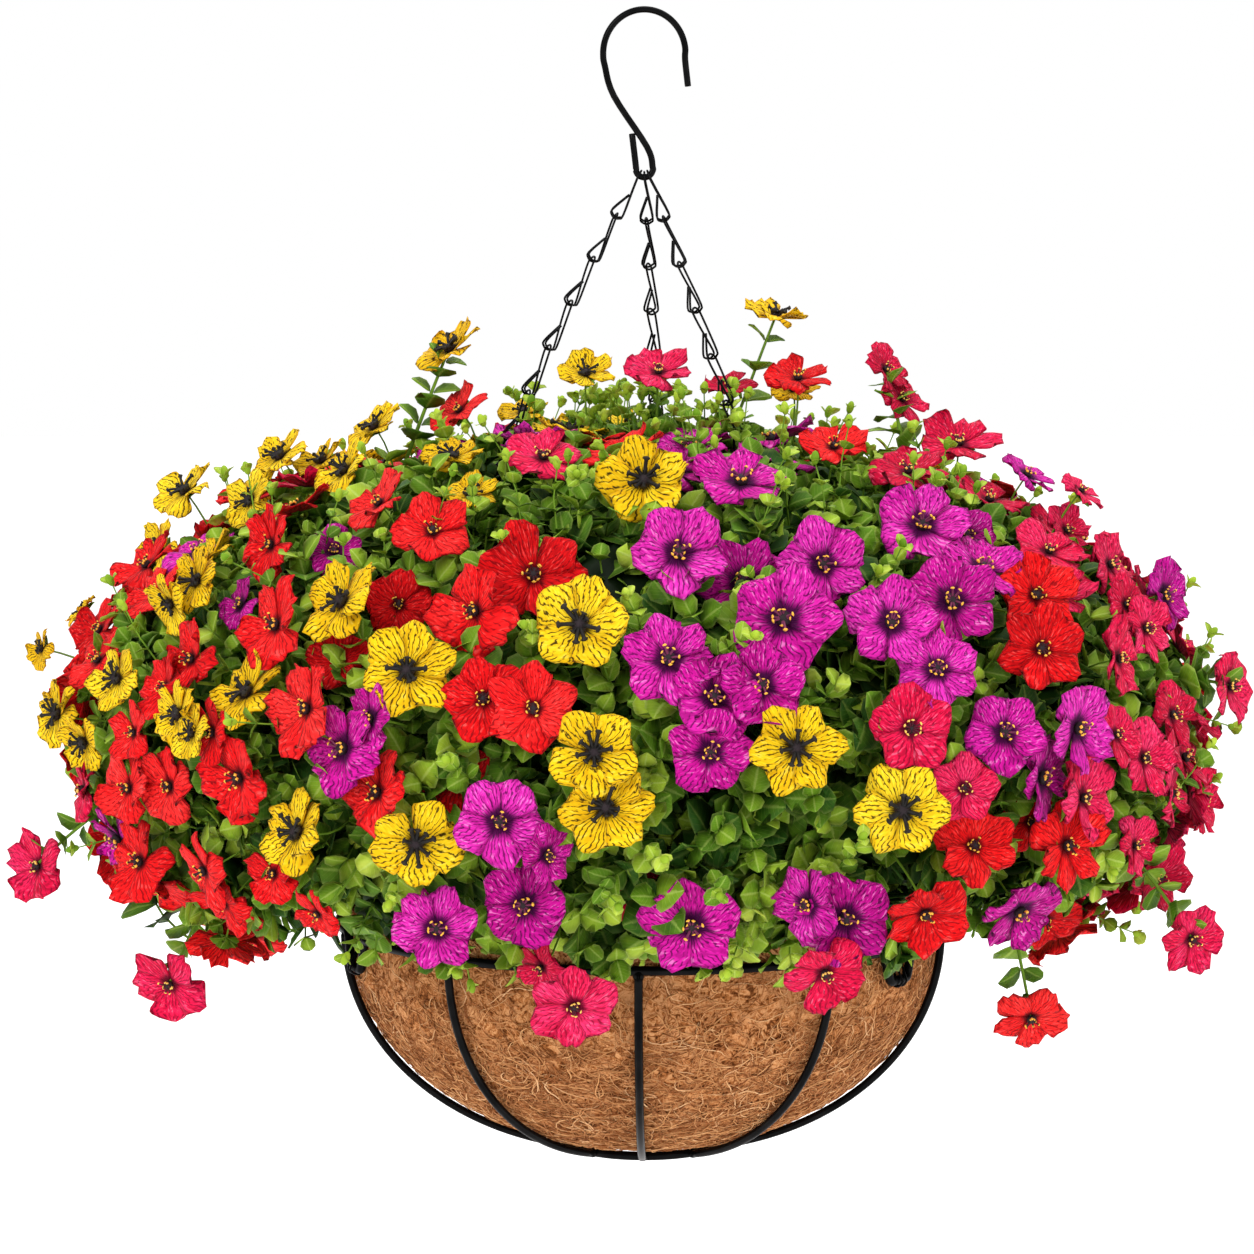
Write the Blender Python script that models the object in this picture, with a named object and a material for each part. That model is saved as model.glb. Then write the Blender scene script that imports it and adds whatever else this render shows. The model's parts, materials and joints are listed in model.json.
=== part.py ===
"""A flowering hanging basket: an S-hook, three chains of bent-wire links, a welded wire basket,
a coir liner, a foam block and the plants that are set in it.

The origin is the hang point, on the inside of the hook's upper bend. +Z is up, -Y is the front
and +X is the right. An azimuth of 0 points to the front, and 90 to the right.
"""

import math

import bmesh
import bpy
import numpy as np
from mathutils import Vector

GAP = 0.0003  # between pieces that touch, are welded or bear on each other

# S-hook
HOOK_WIRE = 0.0032
HOOK_TOP_HALF_WIDTH = 0.0202
HOOK_TOP_HEIGHT = 0.0214
HOOK_DROP = 0.0802  # hang point to the middle of the wire at the lowest bend
HOOK_TIP_LENGTH = 0.0158
HOOK_TAIL_LENGTH = 0.0168

# wire basket
RIM_DROP = 0.448  # hang point to the plane of the rim
RIM_R = 0.152
RIM_WIRE = 0.0045
DIP_DEPTH = 0.015
DIP_WIDTH = 0.026
RIB_COUNT = 10
RIB_WIRE = 0.004
RIB_TURN = -1.2  # degrees that the ribs are turned past the front
BOWL_DEPTH = 0.117  # of the half ellipse that the ribs follow
BOTTOM_RING_R = 0.040
BOTTOM_RING_WIRE = 0.0045

# chains
CHAIN_SIDES = ("right", "back", "left")
CHAIN_BOWS = (0.005, 0.004, 0.020)  # how far the plants push each chain out of a straight line
LINK_COUNT = 17
LOOSE_LINK_COUNT = 8  # from the top, each a node of its own; the rest are one node
LINK_WIRE = 0.0011
LINK_HALF_WIDTH = 0.0035
LINK_CURL_R = 0.0030
LINK_FOOT_SHARE = 0.5  # spread of a link's two curls, over its widest
LINK_TURN_STEP = 11.0  # degrees that one link can twist on the next
OUTER_LINK_RISE = 0.00098  # of the two outer top links, from the middle of the hook's lower bend

# liner and foam
LINER_WALL = 0.0075
LINER_RISE = 0.008  # above the rim
LINER_SLACK = 0.0015  # between the liner and the ribs
NOTCH_HALF_WIDTH = 0.009
FOAM_TOP_DROP = 0.022  # below the rim
FOAM_HEIGHT = 0.054
FOAM_SIDE_GAP = 0.016

# plants
BUSHES_PER_BAY = 3  # a bay is the space between two chains
BUSH_INNER_R = 0.050
BUSH_OVERHANG = 0.108  # past the rim
BUSH_HEIGHT = 0.226
BUSH_SIDE_GAP = 0.0052  # to the plane midway to the next bush
BUSH_LIFT = 0.004  # above the liner
STEM_R = 0.0045
STEM_FOOT_R = 0.088
CENTRE_BUSH_R = 0.040
CENTRE_BUSH_FOOT_R = 0.006
BLOOM_R = 0.021
BLOOM_THICKNESS = 0.012
SPRAY_STEM_R = 0.0015
SPRAY_START = 0.0015  # clear of the bush

BLACK = (0.012, 0.012, 0.013)
COIR = (0.36, 0.17, 0.07)
FOAM = (0.10, 0.17, 0.07)
LEAF = (0.08, 0.20, 0.03)
YELLOW = (0.90, 0.62, 0.02)
RED = (0.72, 0.01, 0.02)
PINK = (0.66, 0.02, 0.13)
PURPLE = (0.38, 0.01, 0.32)

RIB_STEP = 360 / RIB_COUNT
CHAIN_STEP = 360 / len(CHAIN_SIDES)
FIRST_CHAIN = RIB_TURN + 1.5 * RIB_STEP  # midway between two ribs
SEAT = (HOOK_WIRE + LINK_WIRE) / 2 + GAP  # hook wire to the wire of a link that hangs on it
LINK_SLOT = LINK_WIRE + GAP + 0.00005  # from one top link to the next, side by side
HOOK_LOOP_R = SEAT + math.hypot(LINK_SLOT, OUTER_LINK_RISE)


def toward(azimuth):
    """Horizontal unit vector at an azimuth in degrees."""
    turn = math.radians(azimuth)
    return np.array([math.sin(turn), -math.cos(turn), 0.0])


def along(azimuth):
    """Horizontal unit vector square to toward(azimuth)."""
    turn = math.radians(azimuth)
    return np.array([math.cos(turn), math.sin(turn), 0.0])


def unit(vector):
    return np.asarray(vector) / np.linalg.norm(vector)


def material(name, colour, roughness, metallic=0.0):
    made = bpy.data.materials.get(name)
    if made is None:
        made = bpy.data.materials.new(name)
        made.use_nodes = True
        shader = made.node_tree.nodes["Principled BSDF"]
        shader.inputs["Base Color"].default_value = (*colour, 1.0)
        shader.inputs["Roughness"].default_value = roughness
        shader.inputs["Metallic"].default_value = metallic
    return made


def steel():
    return material("black_coated_steel", BLACK, 0.25, 0.0)


def empty(name, place, parent=None):
    """An empty that pieces hang from, at a place in the world."""
    made = bpy.data.objects.new(name, None)
    made.empty_display_size = 0.02
    bpy.context.scene.collection.objects.link(made)
    return attach(made, place, parent)


def attach(piece, place, parent):
    start = Vector(parent["place"]) if parent else Vector((0.0, 0.0, 0.0))
    piece.parent = parent
    piece.location = Vector(place) - start
    piece["place"] = tuple(float(value) for value in place)
    return piece


def solid(name, corners, faces, look, place, parent=None):
    """A closed mesh object. The corners are in the world, and the object's origin is at the place."""
    mesh = bpy.data.meshes.new(name)
    mesh.from_pydata((np.asarray(corners) - np.asarray(place)).tolist(), [], faces)
    shell = bmesh.new()
    shell.from_mesh(mesh)
    bmesh.ops.recalc_face_normals(shell, faces=shell.faces)
    shell.to_mesh(mesh)
    shell.free()
    mesh.shade_smooth()
    mesh.set_sharp_from_angle(angle=math.radians(40))
    mesh.materials.append(look)
    made = bpy.data.objects.new(name, mesh)
    bpy.context.scene.collection.objects.link(made)
    return attach(made, place, parent)


def combine(piece, other, operation):
    """Join another closed shape to a piece, or cut it away."""
    other.hide_render = True
    other.display_type = "WIRE"
    step = piece.modifiers.new(f"{operation.lower()} {other.name}", "BOOLEAN")
    step.operation = operation
    step.solver = "EXACT"
    step.object = other


def wire(path, thickness, sides, closed=False, square_to=None):
    """Corners and faces of a round wire along a path.

    With square_to the wire's flats keep square to that direction. Without it they follow the path
    untwisted. An open wire has flat ends.
    """
    path = np.asarray(path, float)
    ahead = np.roll(path, -1, axis=0) - path
    behind = path - np.roll(path, 1, axis=0)
    if not closed:
        ahead[-1] = behind[-1]
        behind[0] = ahead[0]
    heading = ahead / np.linalg.norm(ahead, axis=1)[:, None] + behind / np.linalg.norm(behind, axis=1)[:, None]
    heading /= np.linalg.norm(heading, axis=1)[:, None]
    flat = np.empty_like(path)
    carried = square_to if square_to is not None else np.eye(3)[np.argmin(np.abs(heading[0]))]
    for place, direction in enumerate(heading):
        flat[place] = unit(carried - direction * np.dot(carried, direction))
        if square_to is None:
            carried = flat[place]
    up = np.cross(heading, flat)
    turns = (np.arange(sides) + 0.5) * 2 * math.pi / sides
    reach = thickness / 2
    rings = (
        path[:, None, :]
        + reach * np.cos(turns)[None, :, None] * flat[:, None, :]
        + reach * np.sin(turns)[None, :, None] * up[:, None, :]
    )
    count = len(path)
    faces = []
    for ring in range(count if closed else count - 1):
        after = (ring + 1) % count
        for side in range(sides):
            beside = (side + 1) % sides
            faces.append(
                (ring * sides + side, ring * sides + beside, after * sides + beside, after * sides + side)
            )
    if not closed:
        faces.append(tuple(range(sides)))
        faces.append(tuple((count - 1) * sides + side for side in range(sides)))
    return rings.reshape(-1, 3), faces


def turned(profile, segments):
    """Corners and faces of a profile of (radius, height) turned about Z. It starts and ends at radius 0."""
    turns = np.arange(segments) * 2 * math.pi / segments
    circle = np.stack([np.cos(turns), np.sin(turns), np.zeros(segments)], axis=1)
    corners = [np.array([[0.0, 0.0, profile[0][1]]])]
    for radius, height in profile[1:-1]:
        corners.append(circle * radius + np.array([0.0, 0.0, height]))
    corners.append(np.array([[0.0, 0.0, profile[-1][1]]]))
    rings = len(profile) - 2
    last = 1 + rings * segments
    faces = []
    for side in range(segments):
        beside = (side + 1) % segments
        faces.append((0, 1 + side, 1 + beside))
        faces.append((last, last - segments + beside, last - segments + side))
        for ring in range(rings - 1):
            low = 1 + ring * segments
            high = low + segments
            faces.append((low + side, low + beside, high + beside, high + side))
    return np.concatenate(corners), faces


def smooth(points, steps):
    """A curve through the points, with a number of steps between each two."""
    points = np.asarray(points, float)
    before = 2 * points[0] - points[1]
    after = 2 * points[-1] - points[-2]
    knots = np.vstack([before, points, after])
    curve = []
    for place in range(len(points) - 1):
        a, b, c, d = knots[place : place + 4]
        for step in range(steps):
            t = step / steps
            curve.append(
                0.5 * (2 * b + (c - a) * t + (2 * a - 5 * b + 4 * c - d) * t**2 + (3 * b - a - 3 * c + d) * t**3)
            )
    curve.append(points[-1])
    return np.array(curve)


def arc(centre, width, height, first, last, steps):
    """Points (x, z) on an ellipse between two angles in degrees, measured from +X towards +Z."""
    turns = np.radians(np.linspace(first, last, steps))
    return [(centre[0] + width * math.cos(turn), centre[1] + height * math.sin(turn)) for turn in turns]


def hook_path():
    """The S-hook's wire, in the plane of X and Z, from the tip of the upper bend to the end of the tail."""
    top_centre = (0.0, HOOK_WIRE / 2 - HOOK_TOP_HEIGHT)
    loop_centre = (0.0, HOOK_LOOP_R - HOOK_DROP)
    tip = [(HOOK_TOP_HALF_WIDTH + 0.0012, top_centre[1] - HOOK_TIP_LENGTH)]
    bend = arc(top_centre, HOOK_TOP_HALF_WIDTH, HOOK_TOP_HEIGHT, -8, 196, 15)
    upper = np.array(bend[-1])
    lower = np.array((loop_centre[0] + HOOK_LOOP_R, loop_centre[1] + 0.2 * HOOK_LOOP_R))
    shank = [upper + share * (lower - upper) for share in (0.30, 0.80)]
    shank[0] += np.array((-0.0026, 0.0))
    shank[1] += np.array((0.0018, 0.0))
    loop = arc(loop_centre, HOOK_LOOP_R, HOOK_LOOP_R, 12, -192, 9)
    tail = [(-HOOK_LOOP_R - 0.0018, loop_centre[1] + HOOK_TAIL_LENGTH)]
    flat = smooth([*tip, *bend, *shank, *loop, *tail], 1)
    return np.column_stack([flat[:, 0], np.zeros(len(flat)), flat[:, 1]])


def make_hook():
    corners, faces = wire(hook_path(), HOOK_WIRE, 8, square_to=np.array([0.0, 1.0, 0.0]))
    return solid("s_hook", corners, faces, steel(), (0.0, 0.0, 0.0))


def rim_dip(azimuth):
    """How far the rim dips below its plane at an azimuth."""
    deepest = 0.0
    for chain in range(len(CHAIN_SIDES)):
        off = (azimuth - chain_azimuth(chain) + 180) % 360 - 180
        way = abs(math.radians(off)) * RIM_R
        share = min(max((DIP_WIDTH / 2 - way) / (DIP_WIDTH / 4), 0.0), 1.0)
        deepest = max(deepest, share * share * (3 - 2 * share))
    return deepest * DIP_DEPTH


def make_rim(parent):
    """The rim wire. It is stepped finely where it dips, and coarsely between the dips."""
    dip_angle = math.degrees(DIP_WIDTH / 2 / RIM_R)
    azimuths = []
    for chain in range(len(CHAIN_SIDES)):
        middle = chain_azimuth(chain)
        azimuths.extend(middle + dip_angle * np.linspace(-1, 1, 11))
        azimuths.extend(np.linspace(middle + dip_angle, middle + CHAIN_STEP - dip_angle, 15)[1:-1])
    path = [toward(a) * RIM_R + np.array([0, 0, -RIM_DROP - rim_dip(a)]) for a in azimuths]
    corners, faces = wire(path, RIM_WIRE, 6, closed=True, square_to=np.array([0.0, 0.0, 1.0]))
    return solid("rim_ring", corners, faces, steel(), parent["place"], parent)


def bowl(shrink, first, last, steps):
    """Points (radius, height above the rim) on the bowl's half ellipse, drawn in by an amount.

    It runs between two depths below the rim.
    """
    width = RIM_R + 0.001 - shrink
    depth = BOWL_DEPTH - shrink
    turns = np.linspace(math.asin(first / depth), math.asin(last / depth), steps)
    return [(width * math.cos(turn), -depth * math.sin(turn)) for turn in turns]


def bottom_depth():
    """Depth of the middle of the bottom ring's wire, where the ribs reach it."""
    reach = BOTTOM_RING_R + BOTTOM_RING_WIRE / 2 + GAP
    return BOWL_DEPTH * math.sqrt(1 - (reach / (RIM_R + 0.001)) ** 2)


def make_ribs(parent):
    top = RIM_WIRE / 2 + GAP
    outline = bowl(0.0, top, bottom_depth(), 9)
    for rib in range(RIB_COUNT):
        azimuth = RIB_TURN + rib * RIB_STEP
        path = [toward(azimuth) * radius + np.array([0, 0, height - RIM_DROP]) for radius, height in outline]
        corners, faces = wire(path, RIB_WIRE, 6, square_to=along(azimuth))
        solid(f"rib_{rib + 1:02d}", corners, faces, steel(), parent["place"], parent)


def make_bottom_ring(parent):
    """The small ring that the ribs end on. A flat of its eight-sided wire faces down."""
    path = [
        toward(azimuth) * BOTTOM_RING_R + np.array([0, 0, -RIM_DROP - bottom_depth()])
        for azimuth in np.arange(24) * 15.0
    ]
    corners, faces = wire(path, BOTTOM_RING_WIRE, 8, closed=True, square_to=np.array([0.0, 0.0, 1.0]))
    return solid("bottom_ring", corners, faces, steel(), parent["place"], parent)


def chain_azimuth(chain):
    return FIRST_CHAIN + chain * CHAIN_STEP


def chain_top(chain):
    """Where a chain's first link hangs: the middle of its wire, on the hook's lower bend.

    The three links lie side by side in the bend, and each one bears along the line of its chain.
    """
    slots = {"right": 1, "back": 0, "left": -1}
    sideways = slots[CHAIN_SIDES[chain]] * LINK_SLOT
    clear = HOOK_LOOP_R - SEAT
    rise = math.sqrt(clear**2 - sideways**2)
    end = chain_end(chain)
    lean = unit(end - np.array([0, 0, -HOOK_DROP]))
    return np.array([sideways, -lean[1] * SEAT, HOOK_LOOP_R - HOOK_DROP - rise])


def chain_end(chain):
    """The middle of the rim's wire at the bottom of its dip."""
    return toward(chain_azimuth(chain)) * RIM_R + np.array([0, 0, -RIM_DROP - DIP_DEPTH])


def chain_joints(chain):
    """The places where a chain's links meet, evenly along a shallow bow from the hook to the rim."""
    start, end = chain_top(chain), chain_end(chain)
    line = unit(end - start)
    out = unit(toward(chain_azimuth(chain)) - line * np.dot(toward(chain_azimuth(chain)), line))
    shares = np.linspace(0, 1, 200)[:, None]
    route = start + shares * (end - start) + 4 * CHAIN_BOWS[chain] * shares * (1 - shares) * out
    lengths = np.concatenate([[0], np.cumsum(np.linalg.norm(np.diff(route, axis=0), axis=1))])
    wanted = np.linspace(0, lengths[-1], LINK_COUNT + 1)
    return np.column_stack([np.interp(wanted, lengths, route[:, axis]) for axis in range(3)])


def link_twist(chain, link):
    """Azimuth of a link's width. It starts square to the hook's wire and ends along the rim."""
    final = (chain_azimuth(chain) + 180) % 180 - 90
    return math.copysign(min(LINK_TURN_STEP * link, abs(final)), final)


def link_path(pitch, hold, curl):
    """A link's wire as (width, thickness, length) from its top: an arch, two legs and two curls.

    The curls close round a wire that lies at a distance of one pitch. Hold is how far below that
    wire's middle they pass, and curl is their radius.
    """
    half = LINK_HALF_WIDTH
    foot = LINK_FOOT_SHARE * half
    low = pitch + hold
    side = [
        (0.5 * half, 0.0, 0.134 * half),
        (0.866 * half, 0.0, 0.5 * half),
        (half, 0.0, half),
        (0.9 * half, -0.35 * curl, 0.45 * pitch),
        (foot, -curl, low - curl),
        (foot, -0.71 * curl, low - 0.29 * curl),
        (foot, 0.0, low),
        (foot, 0.71 * curl, low - 0.29 * curl),
        (0.96 * foot, curl, low - 1.1 * curl),
        (0.7 * foot, -0.2 * curl, 0.56 * pitch),
    ]
    other = [(-across, deep, down) for across, deep, down in side]
    return np.array([*other[::-1], (0.0, 0.0, 0.0), *side])


def link_hold():
    """How far below the next link's top a link's curls pass, inside that link's round arch."""
    clear = LINK_HALF_WIDTH - LINK_WIRE - GAP
    return LINK_HALF_WIDTH - math.sqrt(clear**2 - (LINK_FOOT_SHARE * LINK_HALF_WIDTH) ** 2)


def link_shape(chain, link, sides, overlap=0.0):
    """Corners and faces of one link of a chain. The overlap draws its curls up into the next link."""
    joints = chain_joints(chain)
    top, end = joints[link], joints[link + 1]
    pitch = np.linalg.norm(end - top)
    line = (end - top) / pitch
    width = toward(link_twist(chain, link))
    width = unit(width - line * np.dot(width, line))
    deep = np.cross(line, width)
    last = link == LINK_COUNT - 1
    hold = (RIM_WIRE + LINK_WIRE) / 2 + GAP if last else link_hold() - overlap
    curl = max(LINK_CURL_R, hold + 0.0001) if last else LINK_CURL_R
    path = link_path(pitch, hold, curl)
    world = top + path[:, 0:1] * width + path[:, 1:2] * deep + path[:, 2:3] * line
    return wire(world, LINK_WIRE, sides)


def make_chain(chain, parent):
    name = f"chain_{CHAIN_SIDES[chain]}"
    for link in range(LOOSE_LINK_COUNT):
        corners, faces = link_shape(chain, link, 4)
        solid(f"{name}_link_{link + 1:02d}", corners, faces, steel(), parent["place"], parent)
    sunk = LINK_WIRE / 2 + GAP
    corners, faces = link_shape(chain, LOOSE_LINK_COUNT, 3, sunk)
    run = solid(f"{name}_lower_run", corners, faces, steel(), parent["place"], parent)
    for link in range(LOOSE_LINK_COUNT + 1, LINK_COUNT):
        corners, faces = link_shape(chain, link, 3, sunk)
        more = solid(f"{name}_part_{link + 1:02d}", corners, faces, steel(), parent["place"], parent)
        combine(run, more, "UNION")


def liner_floor():
    """Depth of the liner's underside below the rim, just above the bottom ring."""
    return bottom_depth() - BOTTOM_RING_WIRE / 2 - GAP


def block(name, middle, out, across, size, parent):
    """A box set by its middle, two horizontal directions and its size, for cutting."""
    reach = np.asarray(size) / 2
    corners = [
        middle + sx * reach[0] * out + sy * reach[1] * across + np.array([0, 0, sz * reach[2]])
        for sx in (-1, 1)
        for sy in (-1, 1)
        for sz in (-1, 1)
    ]
    faces = [(0, 1, 3, 2), (4, 6, 7, 5), (0, 4, 5, 1), (2, 3, 7, 6), (0, 2, 6, 4), (1, 5, 7, 3)]
    return solid(name, corners, faces, steel(), parent["place"], parent)


def make_liner(parent):
    """The coir liner: an open bowl, notched at the top where each chain crosses it to the rim."""
    outer_in = (RIB_WIRE / 2) + LINER_SLACK + 0.001
    inner_in = outer_in + LINER_WALL
    outer = bowl(outer_in, 0.0, liner_floor(), 8)
    inner = bowl(inner_in, 0.0, liner_floor() - LINER_WALL, 7)
    mouth = [(outer[0][0], LINER_RISE), (inner[0][0], LINER_RISE)]
    profile = [(0.0, outer[-1][1]), *outer[::-1], *mouth, *inner, (0.0, inner[-1][1])]
    corners, faces = turned([(radius, height - RIM_DROP) for radius, height in profile], 30)
    look = material("coir", COIR, 0.95)
    liner = solid("coir_liner", corners, faces, look, parent["place"], parent)
    depth = DIP_DEPTH + RIM_WIRE + 0.004
    for chain, side in enumerate(CHAIN_SIDES):
        azimuth = chain_azimuth(chain)
        middle = toward(azimuth) * RIM_R + np.array([0, 0, LINER_RISE - RIM_DROP + 0.01 - depth / 2])
        size = (4 * LINER_WALL, 2 * NOTCH_HALF_WIDTH, depth + LINER_RISE + 0.02)
        notch = block(f"notch_{side}", middle, toward(azimuth), along(azimuth), size, parent)
        combine(liner, notch, "DIFFERENCE")


def make_foam(parent):
    """The block of floral foam that the stems are pushed into, clear of the liner all round."""
    inner_in = RIB_WIRE / 2 + LINER_SLACK + 0.001 + LINER_WALL
    floor = FOAM_TOP_DROP + FOAM_HEIGHT
    wall = bowl(inner_in, FOAM_TOP_DROP, floor, 3)
    edge = [(radius - FOAM_SIDE_GAP, height - RIM_DROP) for radius, height in wall]
    profile = [(0.0, edge[-1][1]), *edge[::-1], (0.0, edge[0][1])]
    corners, faces = turned(profile, 24)
    return solid("foam_block", corners, faces, material("foam", FOAM, 0.9), parent["place"], parent)


def bush_azimuths():
    step = CHAIN_STEP / BUSHES_PER_BAY
    return [FIRST_CHAIN + (place + 0.5) * step for place in range(len(CHAIN_SIDES) * BUSHES_PER_BAY)]


def bush_reach():
    """Half sizes of a bush along its azimuth and upwards."""
    return (RIM_R + BUSH_OVERHANG - BUSH_INNER_R) / 2, BUSH_HEIGHT / 2


def bush_half_breadth(radius):
    """Half the breadth that a bush may have at a radius, so that it keeps clear of its bay's sides."""
    return radius * math.sin(math.radians(CHAIN_STEP / BUSHES_PER_BAY / 2)) - BUSH_SIDE_GAP


def bush_centre(azimuth):
    out, up = bush_reach()
    return toward(azimuth) * (BUSH_INNER_R + out) + np.array([0, 0, LINER_RISE + BUSH_LIFT + up - RIM_DROP])


def ball(segments, rings):
    """Corners and faces of a ball of radius 1."""
    turns = np.linspace(-math.pi / 2, math.pi / 2, rings + 1)
    profile = [(math.cos(turn), math.sin(turn)) for turn in turns]
    return turned(profile, segments)


def make_bush(number, azimuth, colour_name, colour, parent):
    """One plant: a rounded wedge of leaves and flowers on a stem that stands on the foam."""
    centre, (out, up) = bush_centre(azimuth), bush_reach()
    corners, faces = ball(12, 8)
    breadth = bush_half_breadth(BUSH_INNER_R + out + corners[:, 0] * out)
    sized = np.column_stack([corners[:, 0] * out, corners[:, 1] * breadth, corners[:, 2] * up])
    basis = np.array([toward(azimuth), along(azimuth), (0, 0, 1)])
    look = material(f"plant_{colour_name}", colour, 0.7)
    bush = solid(f"bush_{number:02d}", centre + sized @ basis, faces, look, parent["place"], parent)
    foot = toward(azimuth) * STEM_FOOT_R + np.array([0, 0, GAP - FOAM_TOP_DROP - RIM_DROP])
    bend = foot + np.array([0, 0, 0.016])
    inside = centre * np.array([0.75, 0.75, 1.0])
    corners, faces = wire([foot, bend, inside], 2 * STEM_R, 6, square_to=along(azimuth))
    stem = solid(f"stem_{number:02d}", corners, faces, look, parent["place"], parent)
    combine(bush, stem, "UNION")


def centre_bush_shape():
    """Middle and half sizes of the plant inside the cone of the chains."""
    foot = GAP - FOAM_TOP_DROP - RIM_DROP
    height = LINER_RISE + BUSH_LIFT + BUSH_HEIGHT - RIM_DROP
    low = foot + 0.03
    return np.array([0, 0, (low + height) / 2]), np.array([CENTRE_BUSH_R, CENTRE_BUSH_R, (height - low) / 2])


def make_centre_bush(parent):
    centre, reach = centre_bush_shape()
    corners, faces = ball(12, 8)
    look = material("plant_leaf", LEAF, 0.7)
    bush = solid("bush_centre", centre + corners * reach, faces, look, parent["place"], parent)
    foot = np.array([0, 0, GAP - FOAM_TOP_DROP - RIM_DROP])
    corners, faces = wire([foot, foot + (centre - foot) / 2, centre], 2 * CENTRE_BUSH_FOOT_R, 8)
    stem = solid("stem_centre", corners, faces, look, parent["place"], parent)
    combine(bush, stem, "UNION")


def spray_start(bush, direction):
    """Where a spray leaves a bush's surface, with its heading. Direction is (out, across, up)."""
    heading = unit(direction)
    if bush == "centre":
        azimuth = 90
        centre, reach = centre_bush_shape()
        to_skin = 1 / np.linalg.norm(heading / reach)
    else:
        azimuth = bush_azimuths()[bush - 1]
        centre, (out, up) = bush_centre(azimuth), bush_reach()
        ways = np.linspace(0, 2 * out, 2000)[:, None] * heading
        breadth = np.maximum(bush_half_breadth(BUSH_INNER_R + out + ways[:, 0]), GAP)
        depth = (ways[:, 0] / out) ** 2 + (ways[:, 1] / breadth) ** 2 + (ways[:, 2] / up) ** 2
        to_skin = np.linalg.norm(ways[np.argmax(depth > 1)])
    clear = SPRAY_START + SPRAY_STEM_R
    basis = np.array([toward(azimuth), along(azimuth), (0, 0, 1)])
    return centre + (heading * (to_skin + clear)) @ basis, heading @ basis


def make_spray(name, bush, direction, length, droop, blooms, colour_name, colour, parent):
    """A long stem that leaves a bush and ends in flowers. Blooms are (share of the stem, side step)."""
    start, heading = spray_start(bush, direction)
    shares = np.linspace(0, 1, 7)[:, None]
    path = start + heading * length * shares - np.array([0, 0, droop]) * shares**2
    look = material(f"plant_{colour_name}", colour, 0.7)
    corners, faces = wire(path, 2 * SPRAY_STEM_R, 6)
    spray = solid(f"spray_{name}", corners, faces, look, start, parent)
    facing = unit(path[-1] - path[-2])
    level = unit(np.cross(facing, (0, 0, 1)) if abs(facing[2]) < 0.95 else (1, 0, 0))
    basis = np.array([level, np.cross(facing, level), facing])
    reach = np.array([BLOOM_R, BLOOM_R, BLOOM_THICKNESS / 2])
    for number, (share, step) in enumerate(blooms):
        centre = start + heading * length * share - np.array([0, 0, droop]) * share**2 + step * level
        corners, faces = ball(10, 6)
        bloom = solid(f"{name}_bloom_{number}", centre + (corners * reach) @ basis, faces, look, start, parent)
        combine(spray, bloom, "UNION")


def make_plants(parent):
    reds, pinks = ("red", RED), ("pink", PINK)
    purples, yellows = ("purple", PURPLE), ("yellow", YELLOW)
    colours = (pinks, pinks, reds, yellows, yellows, reds, yellows, reds, purples)
    for number, (azimuth, colour) in enumerate(zip(bush_azimuths(), colours), start=1):
        make_bush(number, azimuth, *colour, parent)
    make_centre_bush(parent)
    sprays = (
        ("far_left", 6, (0.85, 0.03, -0.50), 0.060, 0.010, [(1.0, 0.0)], pinks),
        ("low_left", 6, (0.46, 0.27, -0.81), 0.060, 0.010, [(1.0, 0.0)], pinks),
        ("far_right", 1, (0.98, 0.10, 0.02), 0.028, 0.004, [(1.0, 0.0)], pinks),
        ("low_right", 1, (0.75, -0.08, -0.66), 0.052, 0.013, [(1.0, 0.0), (0.5, -0.012)], pinks),
        ("drooping", 1, (0.33, -0.38, -0.86), 0.066, 0.012, [(1.0, 0.0), (0.42, -0.018)], reds),
        ("top_right", 1, (-0.25, 0.22, 0.94), 0.062, 0.004, [(1.0, 0.0)], reds),
        ("top_middle", "centre", (0.34, 0.15, 0.93), 0.111, 0.004, [(1.0, 0.0)], yellows),
        ("top_left", 6, (-0.34, -0.03, 0.94), 0.059, 0.004, [(1.0, 0.0)], yellows),
    )
    for name, bush, direction, length, droop, blooms, colour in sprays:
        make_spray(name, bush, direction, length, droop, blooms, *colour, parent)


def build():
    for item in list(bpy.data.objects):
        bpy.data.objects.remove(item)
    make_hook()
    basket = empty("basket_swing", (0.0, 0.0, -HOOK_DROP))
    for chain in range(len(CHAIN_SIDES)):
        make_chain(chain, basket)
    make_rim(basket)
    make_ribs(basket)
    make_bottom_ring(basket)
    make_liner(basket)
    make_foam(basket)
    make_plants(basket)


build()
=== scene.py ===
"""A flowering hanging basket: coated wire, chains, a coir liner, and silk plants in a foam block.

Lengths are in metres. The origin is the hang point, +Z is up, -Y the front and +X the right.
An azimuth of 0 points to the front, and 90 to the right.
"""

import json
import math

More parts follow.
